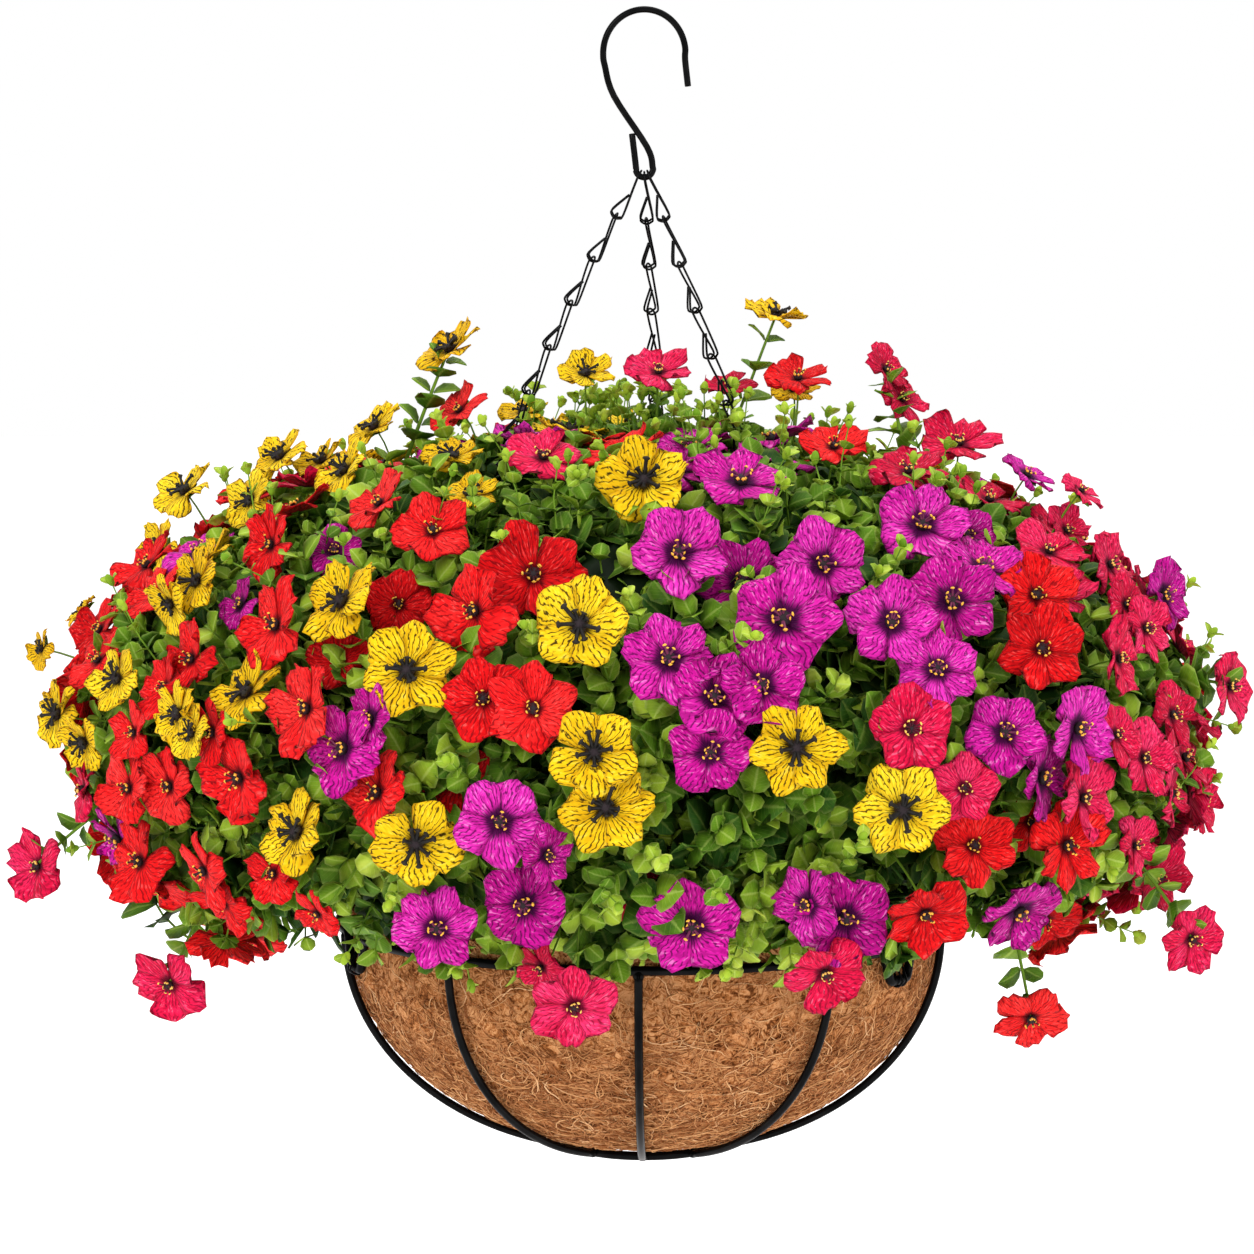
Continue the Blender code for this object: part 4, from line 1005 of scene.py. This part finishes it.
def stamen_shapes(heads, kind, draw):
    """A button and nine rods that lean out from it, for heads of radius 1 facing +Z. Tips are marked 1."""
    long, thick, lean, size = STAMENS[kind][:4]
    turn = np.arange(STAMEN_COUNT) * 2 * math.pi / STAMEN_COUNT + draw.uniform(0, 6, (heads, 1))
    turn = turn + draw.normal(0, 0.22, (heads, STAMEN_COUNT))
    reach = long * draw.uniform(0.50, 1.25, (heads, STAMEN_COUNT, 1))
    t = np.array([0.0, 0.45, 0.82, 0.9, 1.0])
    out = reach * t * lean
    radial = np.stack([np.cos(turn), np.sin(turn), 0 * turn], -1)[:, :, None, :]
    path = radial * out[..., None] + (reach * (t * (1.15 - 0.55 * t)) * 0.75)[..., None] * (0, 0, 1)
    width = thick * np.array([1.0, 0.75, 0.75, 1.55, 0.9])
    side = np.stack([-np.sin(turn), np.cos(turn), 0 * turn], -1)[:, :, None, :]
    up = unit(np.cross(np.gradient(path, axis=2), side))
    ends = np.arange(4) * math.pi / 2
    ring = np.cos(ends)[:, None] * side[:, :, :, None, :] + np.sin(ends)[:, None] * up[:, :, :, None, :]
    rods = path[:, :, :, None, :] - width[:, None, None] * ring
    marks = np.broadcast_to(np.array([0.0, 0.25, 0.5, 1.0, 1.0])[:, None], rods.shape[2:4])
    button = ball(-1.2, 1.4, 5, 8) * (1, 1, 0.7)
    return rods, marks, np.broadcast_to(button * size, (heads, *button.shape))


def petal_look(name, dark, body, bright, fold, ridge_highlight, vein, vein_lines, vein_share, crease_light_share, throat):
    """Printed silk: a body colour that clouds to bright, printed veins and a throat, with painted shade in the
    creases and round the petal's edge, and painted highlights on the crinkle.
    """
    look = Look(f"petal_{name}", {"Sheen Weight": 0.03, "Sheen Roughness": 0.4, "Specular IOR Level": 0.08})
    uv = look.node("ShaderNodeTexCoord", {}, {}, 2)
    across = look.node("ShaderNodeSeparateXYZ", {}, {0: uv})
    out = look.node("ShaderNodeSeparateXYZ", {}, {0: uv}, 1)
    tone = look.node("ShaderNodeAttribute", {"attribute_name": "tone"}, {}, 2)
    place = object_place(look)
    spread = look.node("ShaderNodeVectorMath", {"operation": "SCALE"}, {0: place, "Scale": 30.0})
    shifted = look.node("ShaderNodeVectorMath", {"operation": "ADD"}, {0: uv, 1: spread})
    cloud = speckle(look, place, 75.0, 3.0)
    wander = speckle(look, shifted, 3.2, 2.0)
    crinkle = speckle(look, shifted, 5.0, 3.0, (4.0, 1.0, 1.0))
    line = (across + 0.30 * (wander - 0.5) + 0.10 * (crinkle - 0.5)) * vein_lines
    line = abs(line.sum("FRACT", line) - 0.5)
    broken = speckle(look, shifted, 6.0, 3.0, (1.3, 1.0, 1.0))
    veins = step(look, line, 0.22, 0.04) * step(look, broken, 0.36, 0.50) * step(look, out, 0.05, 0.22)
    throat_mask = step(look, out + 0.25 * (crinkle - 0.5), throat, throat * 0.5)
    # Painted shadow along each petal's sides and tip, where petals overlap. The fold colour is mixed in by it
    # below.
    edge_shadow = step(look, abs(across - 0.5) * 2.0, 0.80, 1.0) * 0.45 + step(look, out, 0.93, 1.0) * 0.3
    colour = ramp(look, 0.55 * cloud + 0.45 * tone, (0.25, dark), (0.5, body), (0.78, bright))
    # Painted shade and painted highlight: where the crinkle is high the fold colour darkens the petal, and
    # where it is low the highlight colour lights it.
    colour = mix(look, step(look, crinkle, 0.47, 0.64) * crease_light_share, colour, fold)
    colour = mix(look, step(look, crinkle, 0.44, 0.30) * crease_light_share, colour, ridge_highlight)
    colour = mix(look, edge_shadow, colour, fold)
    colour = mix(look, veins * vein_share, colour, vein)
    colour = mix(look, throat_mask * 0.94, colour, vein)
    look.shade(
        Base_Color=colour,
        Roughness=0.62 + 0.2 * cloud,
        Normal=bump(look, crinkle * 0.8 + broken * 0.3 - veins * 0.3, 0.55, 0.0012),
    )
    return look


# In each row the fourth colour, the fold, is painted shade, and the fifth is a painted highlight.
petal_looks = {
    "yellow": petal_look("yellow", (0.74, 0.42, 0.003), (0.86, 0.55, 0.006), (0.92, 0.66, 0.02),
                         (0.66, 0.32, 0.002), (0.95, 0.76, 0.10), (0.018, 0.007, 0.002), 8.0, 0.95, 0.5, 0.27),
    "red": petal_look("red", (0.54, 0.002, 0.004), (0.86, 0.006, 0.008), (0.95, 0.030, 0.028),
                      (0.32, 0.001, 0.003), (0.96, 0.11, 0.10), (0.10, 0.0, 0.003), 8.0, 0.7, 0.6, 0.26),
    "pink": petal_look("pink", (0.50, 0.001, 0.026), (0.74, 0.005, 0.058), (0.88, 0.030, 0.14),
                       (0.30, 0.001, 0.02), (0.92, 0.17, 0.30), (0.11, 0.0, 0.014), 8.0, 0.7, 0.6, 0.28),
    "purple": petal_look("purple", (0.40, 0.002, 0.18), (0.60, 0.006, 0.30), (0.74, 0.03, 0.44),
                         (0.24, 0.001, 0.12), (0.85, 0.28, 0.64), (0.028, 0.0, 0.030), 9.0, 0.8, 0.6, 0.40),
}
stamen_looks = {}
for kind, (*_, rod, tip) in STAMENS.items():
    look = stamen_looks[kind] = Look(f"stamens_{kind}", {"Specular IOR Level": 0.4})
    mark = look.node("ShaderNodeAttribute", {"attribute_name": "tip"}, {}, 2)
    dust = speckle(look, object_place(look), 900.0, 2.0)
    dark_button = mix(look, step(look, mark, -0.5, -0.1), (0.010, 0.002, 0.005), rod)
    colour = mix(look, step(look, mark + 0.3 * (dust - 0.5), 0.55, 0.8), dark_button, tip)
    look.shade(Base_Color=colour, Roughness=0.55 + 0.3 * dust, Normal=bump(look, dust, 0.5, 0.0003))


def bloom_meshes(name, kind, places, facings, radii, body, draw, tones=None):
    """The petals and the stamens of flower heads of one colour, as two pieces."""
    heads = len(places)
    shapes, uv, kept = petal_shapes(heads, draw)
    rods, marks, button = stamen_shapes(heads, kind, draw)
    turns = frames(facings, unit(np.array([0.13, 0.21, 0.97])))

    def put(rings):
        ones = [1] * (rings.ndim - 2)
        turned = np.einsum("h...k,hkj->h...j", rings * radii.reshape(heads, *ones, 1), turns)
        return turned + places.reshape(heads, *ones, 3)

    petals = put(shapes)[kept]
    tones = draw.uniform(0, 1, heads) if tones is None else tones
    tone = np.broadcast_to(tones[:, None], kept.shape)[kept] + draw.normal(0, 0.1, kept.sum())
    tone = np.repeat(tone, petals[0, ..., 0].size)
    petal_uv = np.tile(uv, (len(petals), 1, 1, 1)).reshape(-1, 2)
    faces = skin_faces(petals.shape[1], petals.shape[2], len(petals))
    mesh = surface_mesh(f"{name}_petals", petals, *faces, petal_uv, {"tone": tone})
    piece(mesh, petal_looks[kind], body, f"plant_{kind}")
    rods = put(rods).reshape(-1, *rods.shape[2:])
    button = put(button)
    quads, triangles = skin_faces(rods.shape[1], rods.shape[2], len(rods))
    more, _ = skin_faces(button.shape[1], button.shape[2], heads)
    corners = np.vstack([rods.reshape(-1, 3), button.reshape(-1, 3)])
    tip = np.concatenate([np.tile(marks.ravel(), len(rods)), np.full(button[..., 0].size, -1.0)])
    quads = np.vstack([quads, more + rods[..., 0].size])
    mesh = surface_mesh(f"{name}_stamens", corners, quads, triangles, marks={"tip": tip})
    piece(mesh, stamen_looks[kind], body, f"plant_{kind}")


# The florist's plan of the front: colour, then how far to the right of the middle and above the rim
# each head shows from the front, in centimetres, its width in millimetres, and which way it turns:
# l left, r right, u up, d down. After a slash, b sets it back, into the leaves.
PLAN = """
yellow -2.9 27.2 27 u, -13.4 24.6 30 ul, -14.9 22.4 32 l, -18.1 23.1 32 ul, -22.8 21.4 33 ul, -19.6 20.9 31 l,
 -24.1 18.4 31 l, -22.3 16.9 31 l, -23.6 15.7 28 ld, -28.0 15.4 20 lu, -30.0 13.5 20 l, -29.3 10.2 33 l,
 -28.0 8.8 30 ld, -26.3 12.0 31 l, -23.3 10.2 32 l, -22.6 9.3 26 l, -6.0 25.3 26 u/b, -9.5 23.1 30 u/b,
 0.0 21.9 41 f, -15.1 15.9 39 l, -11.8 12.4 41 f, -3.2 14.7 42 f, -2.5 8.3 39 f, -1.9 5.5 39 f, 7.6 8.5 40 f,
 12.9 5.4 41 f, -11.4 3.7 39 f, -17.4 4.3 38 l, 7.4 26.4 24 u/b, -8.6 21.2 26 u/b, -16.0 22.9 28 ul;
red -9.2 25.4 31 ul, -13.2 20.8 35 lu, -10.5 19.4 36 f, -18.6 18.7 35 l, -18.4 14.7 42 l, -22.6 13.0 35 l,
 -5.5 17.2 46 f, -8.5 15.4 42 l, -12.2 15.7 32 f/b, -5.5 10.5 39 f, -8.0 11.0 37 f, -16.9 10.5 41 l,
 -20.3 7.0 42 l, -21.6 9.3 30 l, -25.5 9.3 28 l, -25.8 6.5 34 l, -25.3 2.8 40 l, -22.1 2.3 36 ld,
 -21.1 0.6 30 ld, -13.4 6.3 40 l, -9.2 7.0 32 f/b, -16.4 0.1 26 ld, 9.4 23.6 33 u, 7.6 27.0 34 u,
 19.5 16.2 39 f, 19.8 13.5 39 f, 16.5 3.6 37 f, 21.2 3.6 39 r, 14.1 0.1 38 d, 19.3 4.8 28 f/b, -18.6 2.2 30 l,
 -15.2 12.9 28 f/b, -23.9 11.6 30 l;
pink -5.0 23.1 38 u, 0.7 27.3 33 u, 4.2 26.6 26 u/b, 13.1 22.4 37 uf, 15.6 23.8 39 u, 21.7 21.4 24 ru,
 21.0 19.4 28 r, 23.2 17.7 35 r, 23.7 13.0 37 r, 25.0 14.5 32 r, 26.4 10.2 34 r, 25.0 8.0 35 r,
 27.9 5.8 34 r, 13.3 9.5 38 f, 22.0 6.0 39 r, 16.0 6.5 30 f, -0.5 1.3 30 f/b, 9.1 -2.9 36 d, -3.5 -4.6 37 f,
 -5.2 -2.6 28 ld/b, 24.0 15.7 30 r, 24.6 3.6 30 r, 23.6 9.2 30 r;
purple 1.7 18.3 43 f, 4.8 21.9 42 uf, 4.9 16.9 41 f/b, 8.9 17.7 39 f, 6.9 15.0 47 f, 1.2 13.0 41 f,
 3.5 11.1 39 f, 5.9 11.7 37 f, 3.3 8.3 35 f, 12.3 14.8 39 f, 13.8 19.7 41 f, 16.0 19.2 28 f/b,
 15.3 15.9 43 f, 14.6 12.5 37 f, 18.0 9.3 37 f, 21.7 9.5 40 r, 19.0 22.2 28 ur, 25.9 16.2 34 r,
 -15.1 8.5 40 l, -13.7 10.0 30 l, -7.2 4.8 38 f, -6.0 0.6 40 f, -4.8 3.1 26 r, 2.4 -0.5 43 f, 10.1 -0.1 40 f,
 8.1 0.6 36 l, -10.4 -0.6 37 f, -11.4 0.1 31 l/b, -20.1 15.7 26 l/b, -15.4 18.4 26 f/b
"""
TURN = {"f": (0, 0, 0), "l": (-1.0, 0.25, 0), "r": (1.0, 0.25, 0), "u": (0, 0.1, 0.9), "d": (0, 0, -0.7)}
BLOOM_STAND = 0.012  # height of the heads over the leaves' dome
RIM_HANG = 0.232  # how far forward the heads hang that fall in front of the rim
FORWARD = {"yellow": 0.006, "purple": 0.003, "pink": 0.001, "red": 0.0}  # so that heads overlap
OVERLAP_STEP = 0.002
SET_BACK = 0.026
PRESSED_SPREAD = 1.10  # width of a head laid flat, over its width as it stands


def planned_heads(rows, forward):
    """Places, facings, radii and tones of planned heads, which stand forward of the dome by an amount.

    A head is moved along the line of sight from where it shows, on the plane of the axis, to the
    dome. One that shows outside the dome stays on that plane, or hangs in front of the rim.
    """
    shown = np.array([[float(value) for value in row[:3]] for row in rows])
    across, above = shown[:, 0] / 100, shown[:, 1] / 100
    seen = np.column_stack([across, 0 * across, above - RIM_DROP])
    sight = unit(seen - CAMERA_PLACE)
    found, hit = on_dome(CAMERA_PLACE + sight * 1.45, sight, 0.9, BLOOM_STAND)
    hangs = (np.abs(across) < 0.165) & (above < 0.020)
    hung = np.where(hangs, -RIM_HANG, -0.01 - 0.05 * (np.arange(len(rows)) % 3 - 1) * (np.abs(across) > 0.2))
    plane = CAMERA_PLACE + sight * ((hung - CAMERA_PLACE[1]) / sight[:, 1])[:, None]
    places = np.where((hit & ~hangs)[:, None], found, plane)
    back = np.array([SET_BACK if "b" in row[3].partition("/")[2] else 0.0 for row in rows])
    places = places + sight * (back - forward - OVERLAP_STEP * (np.arange(len(rows)) % 2))[:, None]
    lean = np.array([np.sum([TURN[letter] for letter in row[3].partition("/")[0]], axis=0) for row in rows])
    normal = dome_normal(places)
    jitter = bloom_draw.normal(0, 0.10, places.shape)
    facing = unit(normal * 0.35 - sight * 0.75 + lean * 0.75 + jitter + (0, 0, 0.05))
    # Heads set back into the leaves get a darker tone: painted shade from the leaves round them.
    tone = np.clip(bloom_draw.normal(0.55, 0.25, len(rows)) - back * 14, 0, 1)
    return places, facing, shown[:, 2] / 2000 * PRESSED_SPREAD, tone


def clear_of_sprays(points, room):
    """Whether points stand outside the boxes of the long sprays, grown by some room."""
    boxes = [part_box(node) for node in frame["nodes"] if node.startswith("spray_")]
    low, high = (np.array([np.array(box[end]) for box in boxes]) for end in (0, 1))
    return ~((points[:, None] > low - room) & (points[:, None] < high + room)).all(axis=2).any(axis=1)


heads = {}
for line in PLAN.replace("\n", " ").split(";"):
    kind, _, rest = line.strip().partition(" ")
    heads[kind] = planned_heads([entry.split() for entry in rest.split(",")], FORWARD[kind])

# The sides and the back are filled evenly, by a spiral over the dome, in the colours of each plant.
CALYX_COUNT, CALYX_LENGTH = 5, 0.0075
BUSH_KINDS = ("pink", "pink", "red", "yellow", "yellow", "red", "yellow", "red", "purple")
SPIRAL = 430
spiral_turn = np.arange(SPIRAL) * golden_turn
spiral_rise = np.arcsin(np.linspace(math.sin(math.radians(-42)), 0.985, SPIRAL))
spiral_places = skin_over(spiral_turn, spiral_rise, 0.45, BLOOM_STAND - 0.004)
spiral_places = spiral_places + bloom_draw.normal(0, 0.003, spiral_places.shape)
planned_places = np.vstack([group[0] for group in heads.values()])
nearest = np.linalg.norm(spiral_places[:, None] - planned_places[None], axis=-1).min(axis=1)
on_top = spiral_places[:, 2] > -0.226
spiral_places[:, 2] -= 0.006 * on_top
unplanned = (spiral_places[:, 1] > 0.02) | (np.abs(spiral_places[:, 0]) > 0.15) | on_top
behind = (nearest > 0.024) & clear_of_sprays(spiral_places, 0.012) & unplanned
spiral_facing = dome_normal(spiral_places) + bloom_draw.normal(0, 0.22, spiral_places.shape)
spiral_facing = unit(spiral_facing + (0, 0, 0.1))
stray = bloom_draw.uniform(0, 1, SPIRAL)
strays = [stray < 0.13, stray < 0.24, stray < 0.31, stray < 0.40]
spiral_kind = np.array(BUSH_KINDS)[plant_under(spiral_places)]
spiral_kind = np.select(strays, ["purple", "red", "yellow", "pink"], spiral_kind)
spiral_kind = np.where((spiral_kind == "yellow") & (spiral_places[:, 2] < -0.335), "red", spiral_kind)
spiral_radius = bloom_draw.uniform(0.0180, 0.0230, SPIRAL)
spiral_tone = bloom_draw.uniform(0.1, 0.9, SPIRAL)
for kind in heads:
    own = behind & (spiral_kind == kind)
    group = heads[kind]
    more = (spiral_places[own], spiral_facing[own], spiral_radius[own], spiral_tone[own])
    places, facings, radii, tones = (np.concatenate([first, second]) for first, second in zip(group, more))
    heads[kind] = (places, facings, radii, tones)
    bloom_meshes(f"blooms_{kind}", kind, places, facings, radii, "basket", bloom_draw, tones)

all_places, all_facings, all_radii, _ = (
    np.concatenate([heads[kind][part] for kind in heads]) for part in range(4)
)
stalk_share = np.linspace(0, 1, 6)[None, :, None]
stalk_foot = all_places - dome_normal(all_places) * 0.045 - all_facings * 0.004
stalk_top = all_places - all_facings * (all_radii * 0.12)[:, None]
stalk_mid = stalk_top - all_facings * 0.022
stalk_paths = (1 - stalk_share) ** 2 * stalk_foot[:, None]
stalk_paths = stalk_paths + 2 * stalk_share * (1 - stalk_share) * stalk_mid[:, None]
stalk_paths = stalk_paths + stalk_share**2 * stalk_top[:, None]
calyx_side = frames(all_facings, np.array([0.1, 0.2, 0.97]))
calyx_turn = (np.arange(CALYX_COUNT) * 2 * math.pi / CALYX_COUNT)[None, :, None]
calyx_out = np.cos(calyx_turn) * calyx_side[:, None, 0] + np.sin(calyx_turn) * calyx_side[:, None, 1]
calyx_ahead = unit(calyx_out + 0.5 * all_facings[:, None]).reshape(-1, 3)
calyx_across = unit(np.cross(calyx_ahead, np.repeat(all_facings, CALYX_COUNT, axis=0)))
calyx_turns = np.stack([calyx_across, calyx_ahead, np.cross(calyx_across, calyx_ahead)], axis=-2)
calyx_places = np.repeat(stalk_top - all_facings * 0.0025, CALYX_COUNT, axis=0)
calyx_sizes, calyx_tones = np.full(len(calyx_ahead), CALYX_LENGTH), np.full(len(calyx_ahead), 0.5)
calyxes = (calyx_places, calyx_turns, calyx_sizes, calyx_tones)
bloom_stalks = np.full(len(stalk_paths), SPRIG_STALK)
stalk_mesh = leafy_mesh("bloom_stalks", stalk_paths, bloom_stalks, calyxes, bloom_draw)
piece(stalk_mesh, leaf_look, "basket", "plant_leaf")

# Fine sprigs. Thin side shoots with small pale leaves stand out of the dome, most of them at its top
# and its sides, and each ends in a closed bud.
FINE_COUNT = 420
FINE_PAIRS = 5
FINE_STALK = 0.0012
BUD_REACH = (0.0019, 0.0019, 0.0034)
fine_draw = np.random.default_rng(44)
fine_turn = np.arange(FINE_COUNT) * golden_turn + fine_draw.normal(0, 6.0, FINE_COUNT)
upper = fine_draw.uniform(0, 1, FINE_COUNT) < 0.55
high_rise, low_rise = fine_draw.uniform(28, 88, FINE_COUNT), fine_draw.uniform(-34, 28, FINE_COUNT)
fine_skin = skin_over(fine_turn, np.radians(np.where(upper, high_rise, low_rise)), 0.40)
fine_out = fine_draw.uniform(0.008, 0.029, FINE_COUNT)
fine_heading = unit(dome_normal(fine_skin) + fine_draw.normal(0, 0.30, fine_skin.shape) + (0, 0, 0.25))
fine_tips = fine_skin + dome_normal(fine_skin) * fine_out[:, None]
clear = np.linalg.norm(fine_tips[:, None] - all_places[None], axis=-1).min(axis=1) > 0.021
clear &= clear_of_sprays(fine_tips, 0.008)
fine_tips, fine_heading, fine_out = fine_tips[clear], fine_heading[clear], fine_out[clear]
fine_left = len(fine_tips)
fine_size = fine_draw.uniform(0.0075, 0.0115, fine_left)
fine_paths, *fine_leaves = sprig_leaves(
    fine_tips, fine_heading, fine_out + 0.034, fine_size, FINE_PAIRS, fine_draw, 0.28
)
fine_leaves[3] = np.clip(fine_leaves[3] + 0.26, 0, 1)
fine_mesh = leafy_mesh("fine_sprigs", fine_paths, np.full(fine_left, FINE_STALK), fine_leaves, fine_draw)
piece(fine_mesh, leaf_look, "basket", "plant_leaf")
bud_turns = frames(fine_heading, np.array([0.2, 0.1, 1.0]))
buds = beads(fine_tips + fine_heading * 0.002, BUD_REACH, bud_turns)
bud_tone = np.repeat(fine_draw.uniform(0.6, 1.0, fine_left), buds[0, ..., 0].size)
bud_uv = np.full((bud_tone.size, 2), 0.3)
bud_mesh = surface_mesh("fine_buds", buds, *skin_faces(8, 12, fine_left), bud_uv, {"tone": bud_tone})
piece(bud_mesh, leaf_look, "basket", "plant_leaf")

# Sprays. Eight long wired stems reach out of the dome, with leaves in pairs, and end in one or two
# heads. Each one can be bent by hand where it leaves its plant, so it rides on its own body.
SPRAY_STEM = 0.0026
SPRAYS = (  # name, plant, way, length, droop, heads along it, their colour, way they face and radius
    ("far_left", 6, (0.85, 0.03, -0.50), 0.060, 0.010, ((1.0, 0.0),), "pink", (-0.5, -0.8, 0.1), 0.0205),
    ("low_left", 6, (0.46, 0.27, -0.81), 0.060, 0.010, ((1.0, 0.0),), "pink", (-0.3, -0.9, 0.0), 0.0215),
    ("far_right", 1, (0.98, 0.10, 0.02), 0.028, 0.004, ((1.0, 0.0),), "pink", (0.6, -0.8, 0.1), 0.0190),
    ("low_right", 1, (0.75, -0.08, -0.66), 0.052, 0.013, ((1.0, 0.0), (0.5, -0.012)), "pink",
     (0.4, -0.8, 0.0), 0.0190),
    ("drooping", 1, (0.33, -0.38, -0.86), 0.066, 0.012, ((1.0, 0.0), (0.42, -0.018)), "red",
     (0.1, -0.8, -0.3), 0.0190),
    ("top_right", 1, (-0.25, 0.22, 0.94), 0.062, 0.004, ((1.0, 0.0), (0.72, 0.006)), "pink",
     (0.7, -0.6, 0.3), 0.0155),
    ("top_middle", 0, (0.34, 0.15, 0.93), 0.111, 0.004, ((1.0, 0.0),), "yellow", (0.2, -0.45, 0.8), 0.0175),
    ("top_left", 6, (-0.34, -0.03, 0.94), 0.059, 0.004, ((1.0, 0.0),), "yellow", (-0.8, -0.35, 0.4), 0.0195),
)


def stem_point(start, heading, length, droop, share):
    """A point on a spray's stem at a share of its length: straight out, and down by the share squared."""
    return start + heading * length * share - (0, 0, 1) * np.array(droop * share**2)


spray_draw = np.random.default_rng(55)
joints = frame["record"]["behaviour"]["joints"]
joint_places = {joint["name"]: np.array(joint["pos_m"], float) for joint in joints}
for name, bush, direction, length, droop, blooms, kind, turned, bloom_radius in SPRAYS:
    azimuth = bush_azimuths[bush - 1] if bush else 90.0
    heading = unit(direction) @ np.array([toward(azimuth), along(azimuth), (0, 0, 1)])
    stem = (joint_places[f"{name}_flex"], heading, length, droop)
    path = np.array([stem_point(*stem, share) for share in np.linspace(-0.12, 0.985, 9)])
    facing = unit(path[-1] - path[-2])
    level = unit(np.cross(facing, (0, 0, 1)))
    places, turns, sizes, tones = [], [], [], []
    for pair, share in enumerate(np.linspace(0.10, 0.86, 6)):
        side = level if pair % 2 == 0 else unit(np.cross(facing, level))
        for way in (-1, 1):
            ahead = unit(side * way + facing * spray_draw.uniform(0.4, 0.9))
            across = unit(np.cross(ahead, facing + (0, -0.4, 0.3)))
            places.append(stem_point(*stem, share) + side * way * 0.001)
            turns.append(np.stack([across, ahead, np.cross(across, ahead)]))
            sizes.append(spray_draw.uniform(0.012, 0.0175) * (1.1 - 0.4 * share))
            tones.append(spray_draw.uniform(0.35, 0.7))
    leaves = (np.array(places), np.array(turns), np.array(sizes), np.array(tones))
    mesh = leafy_mesh(f"stem_{name}", path[None], np.array([SPRAY_STEM]), leaves, spray_draw)
    piece(mesh, leaf_look, f"spray_{name}", "plant_leaf", f"spray_{name}")
    bloom_places = np.array([stem_point(*stem, share) + side_step * level for share, side_step in blooms])
    bloom_facing = unit(facing * 0.25 + np.array(turned) + spray_draw.normal(0, 0.12, (len(blooms), 3)))
    bloom_radii = np.full(len(blooms), bloom_radius)
    bloom_meshes(
        f"spray_{name}_head", kind, bloom_places, bloom_facing, bloom_radii, f"spray_{name}", spray_draw
    )
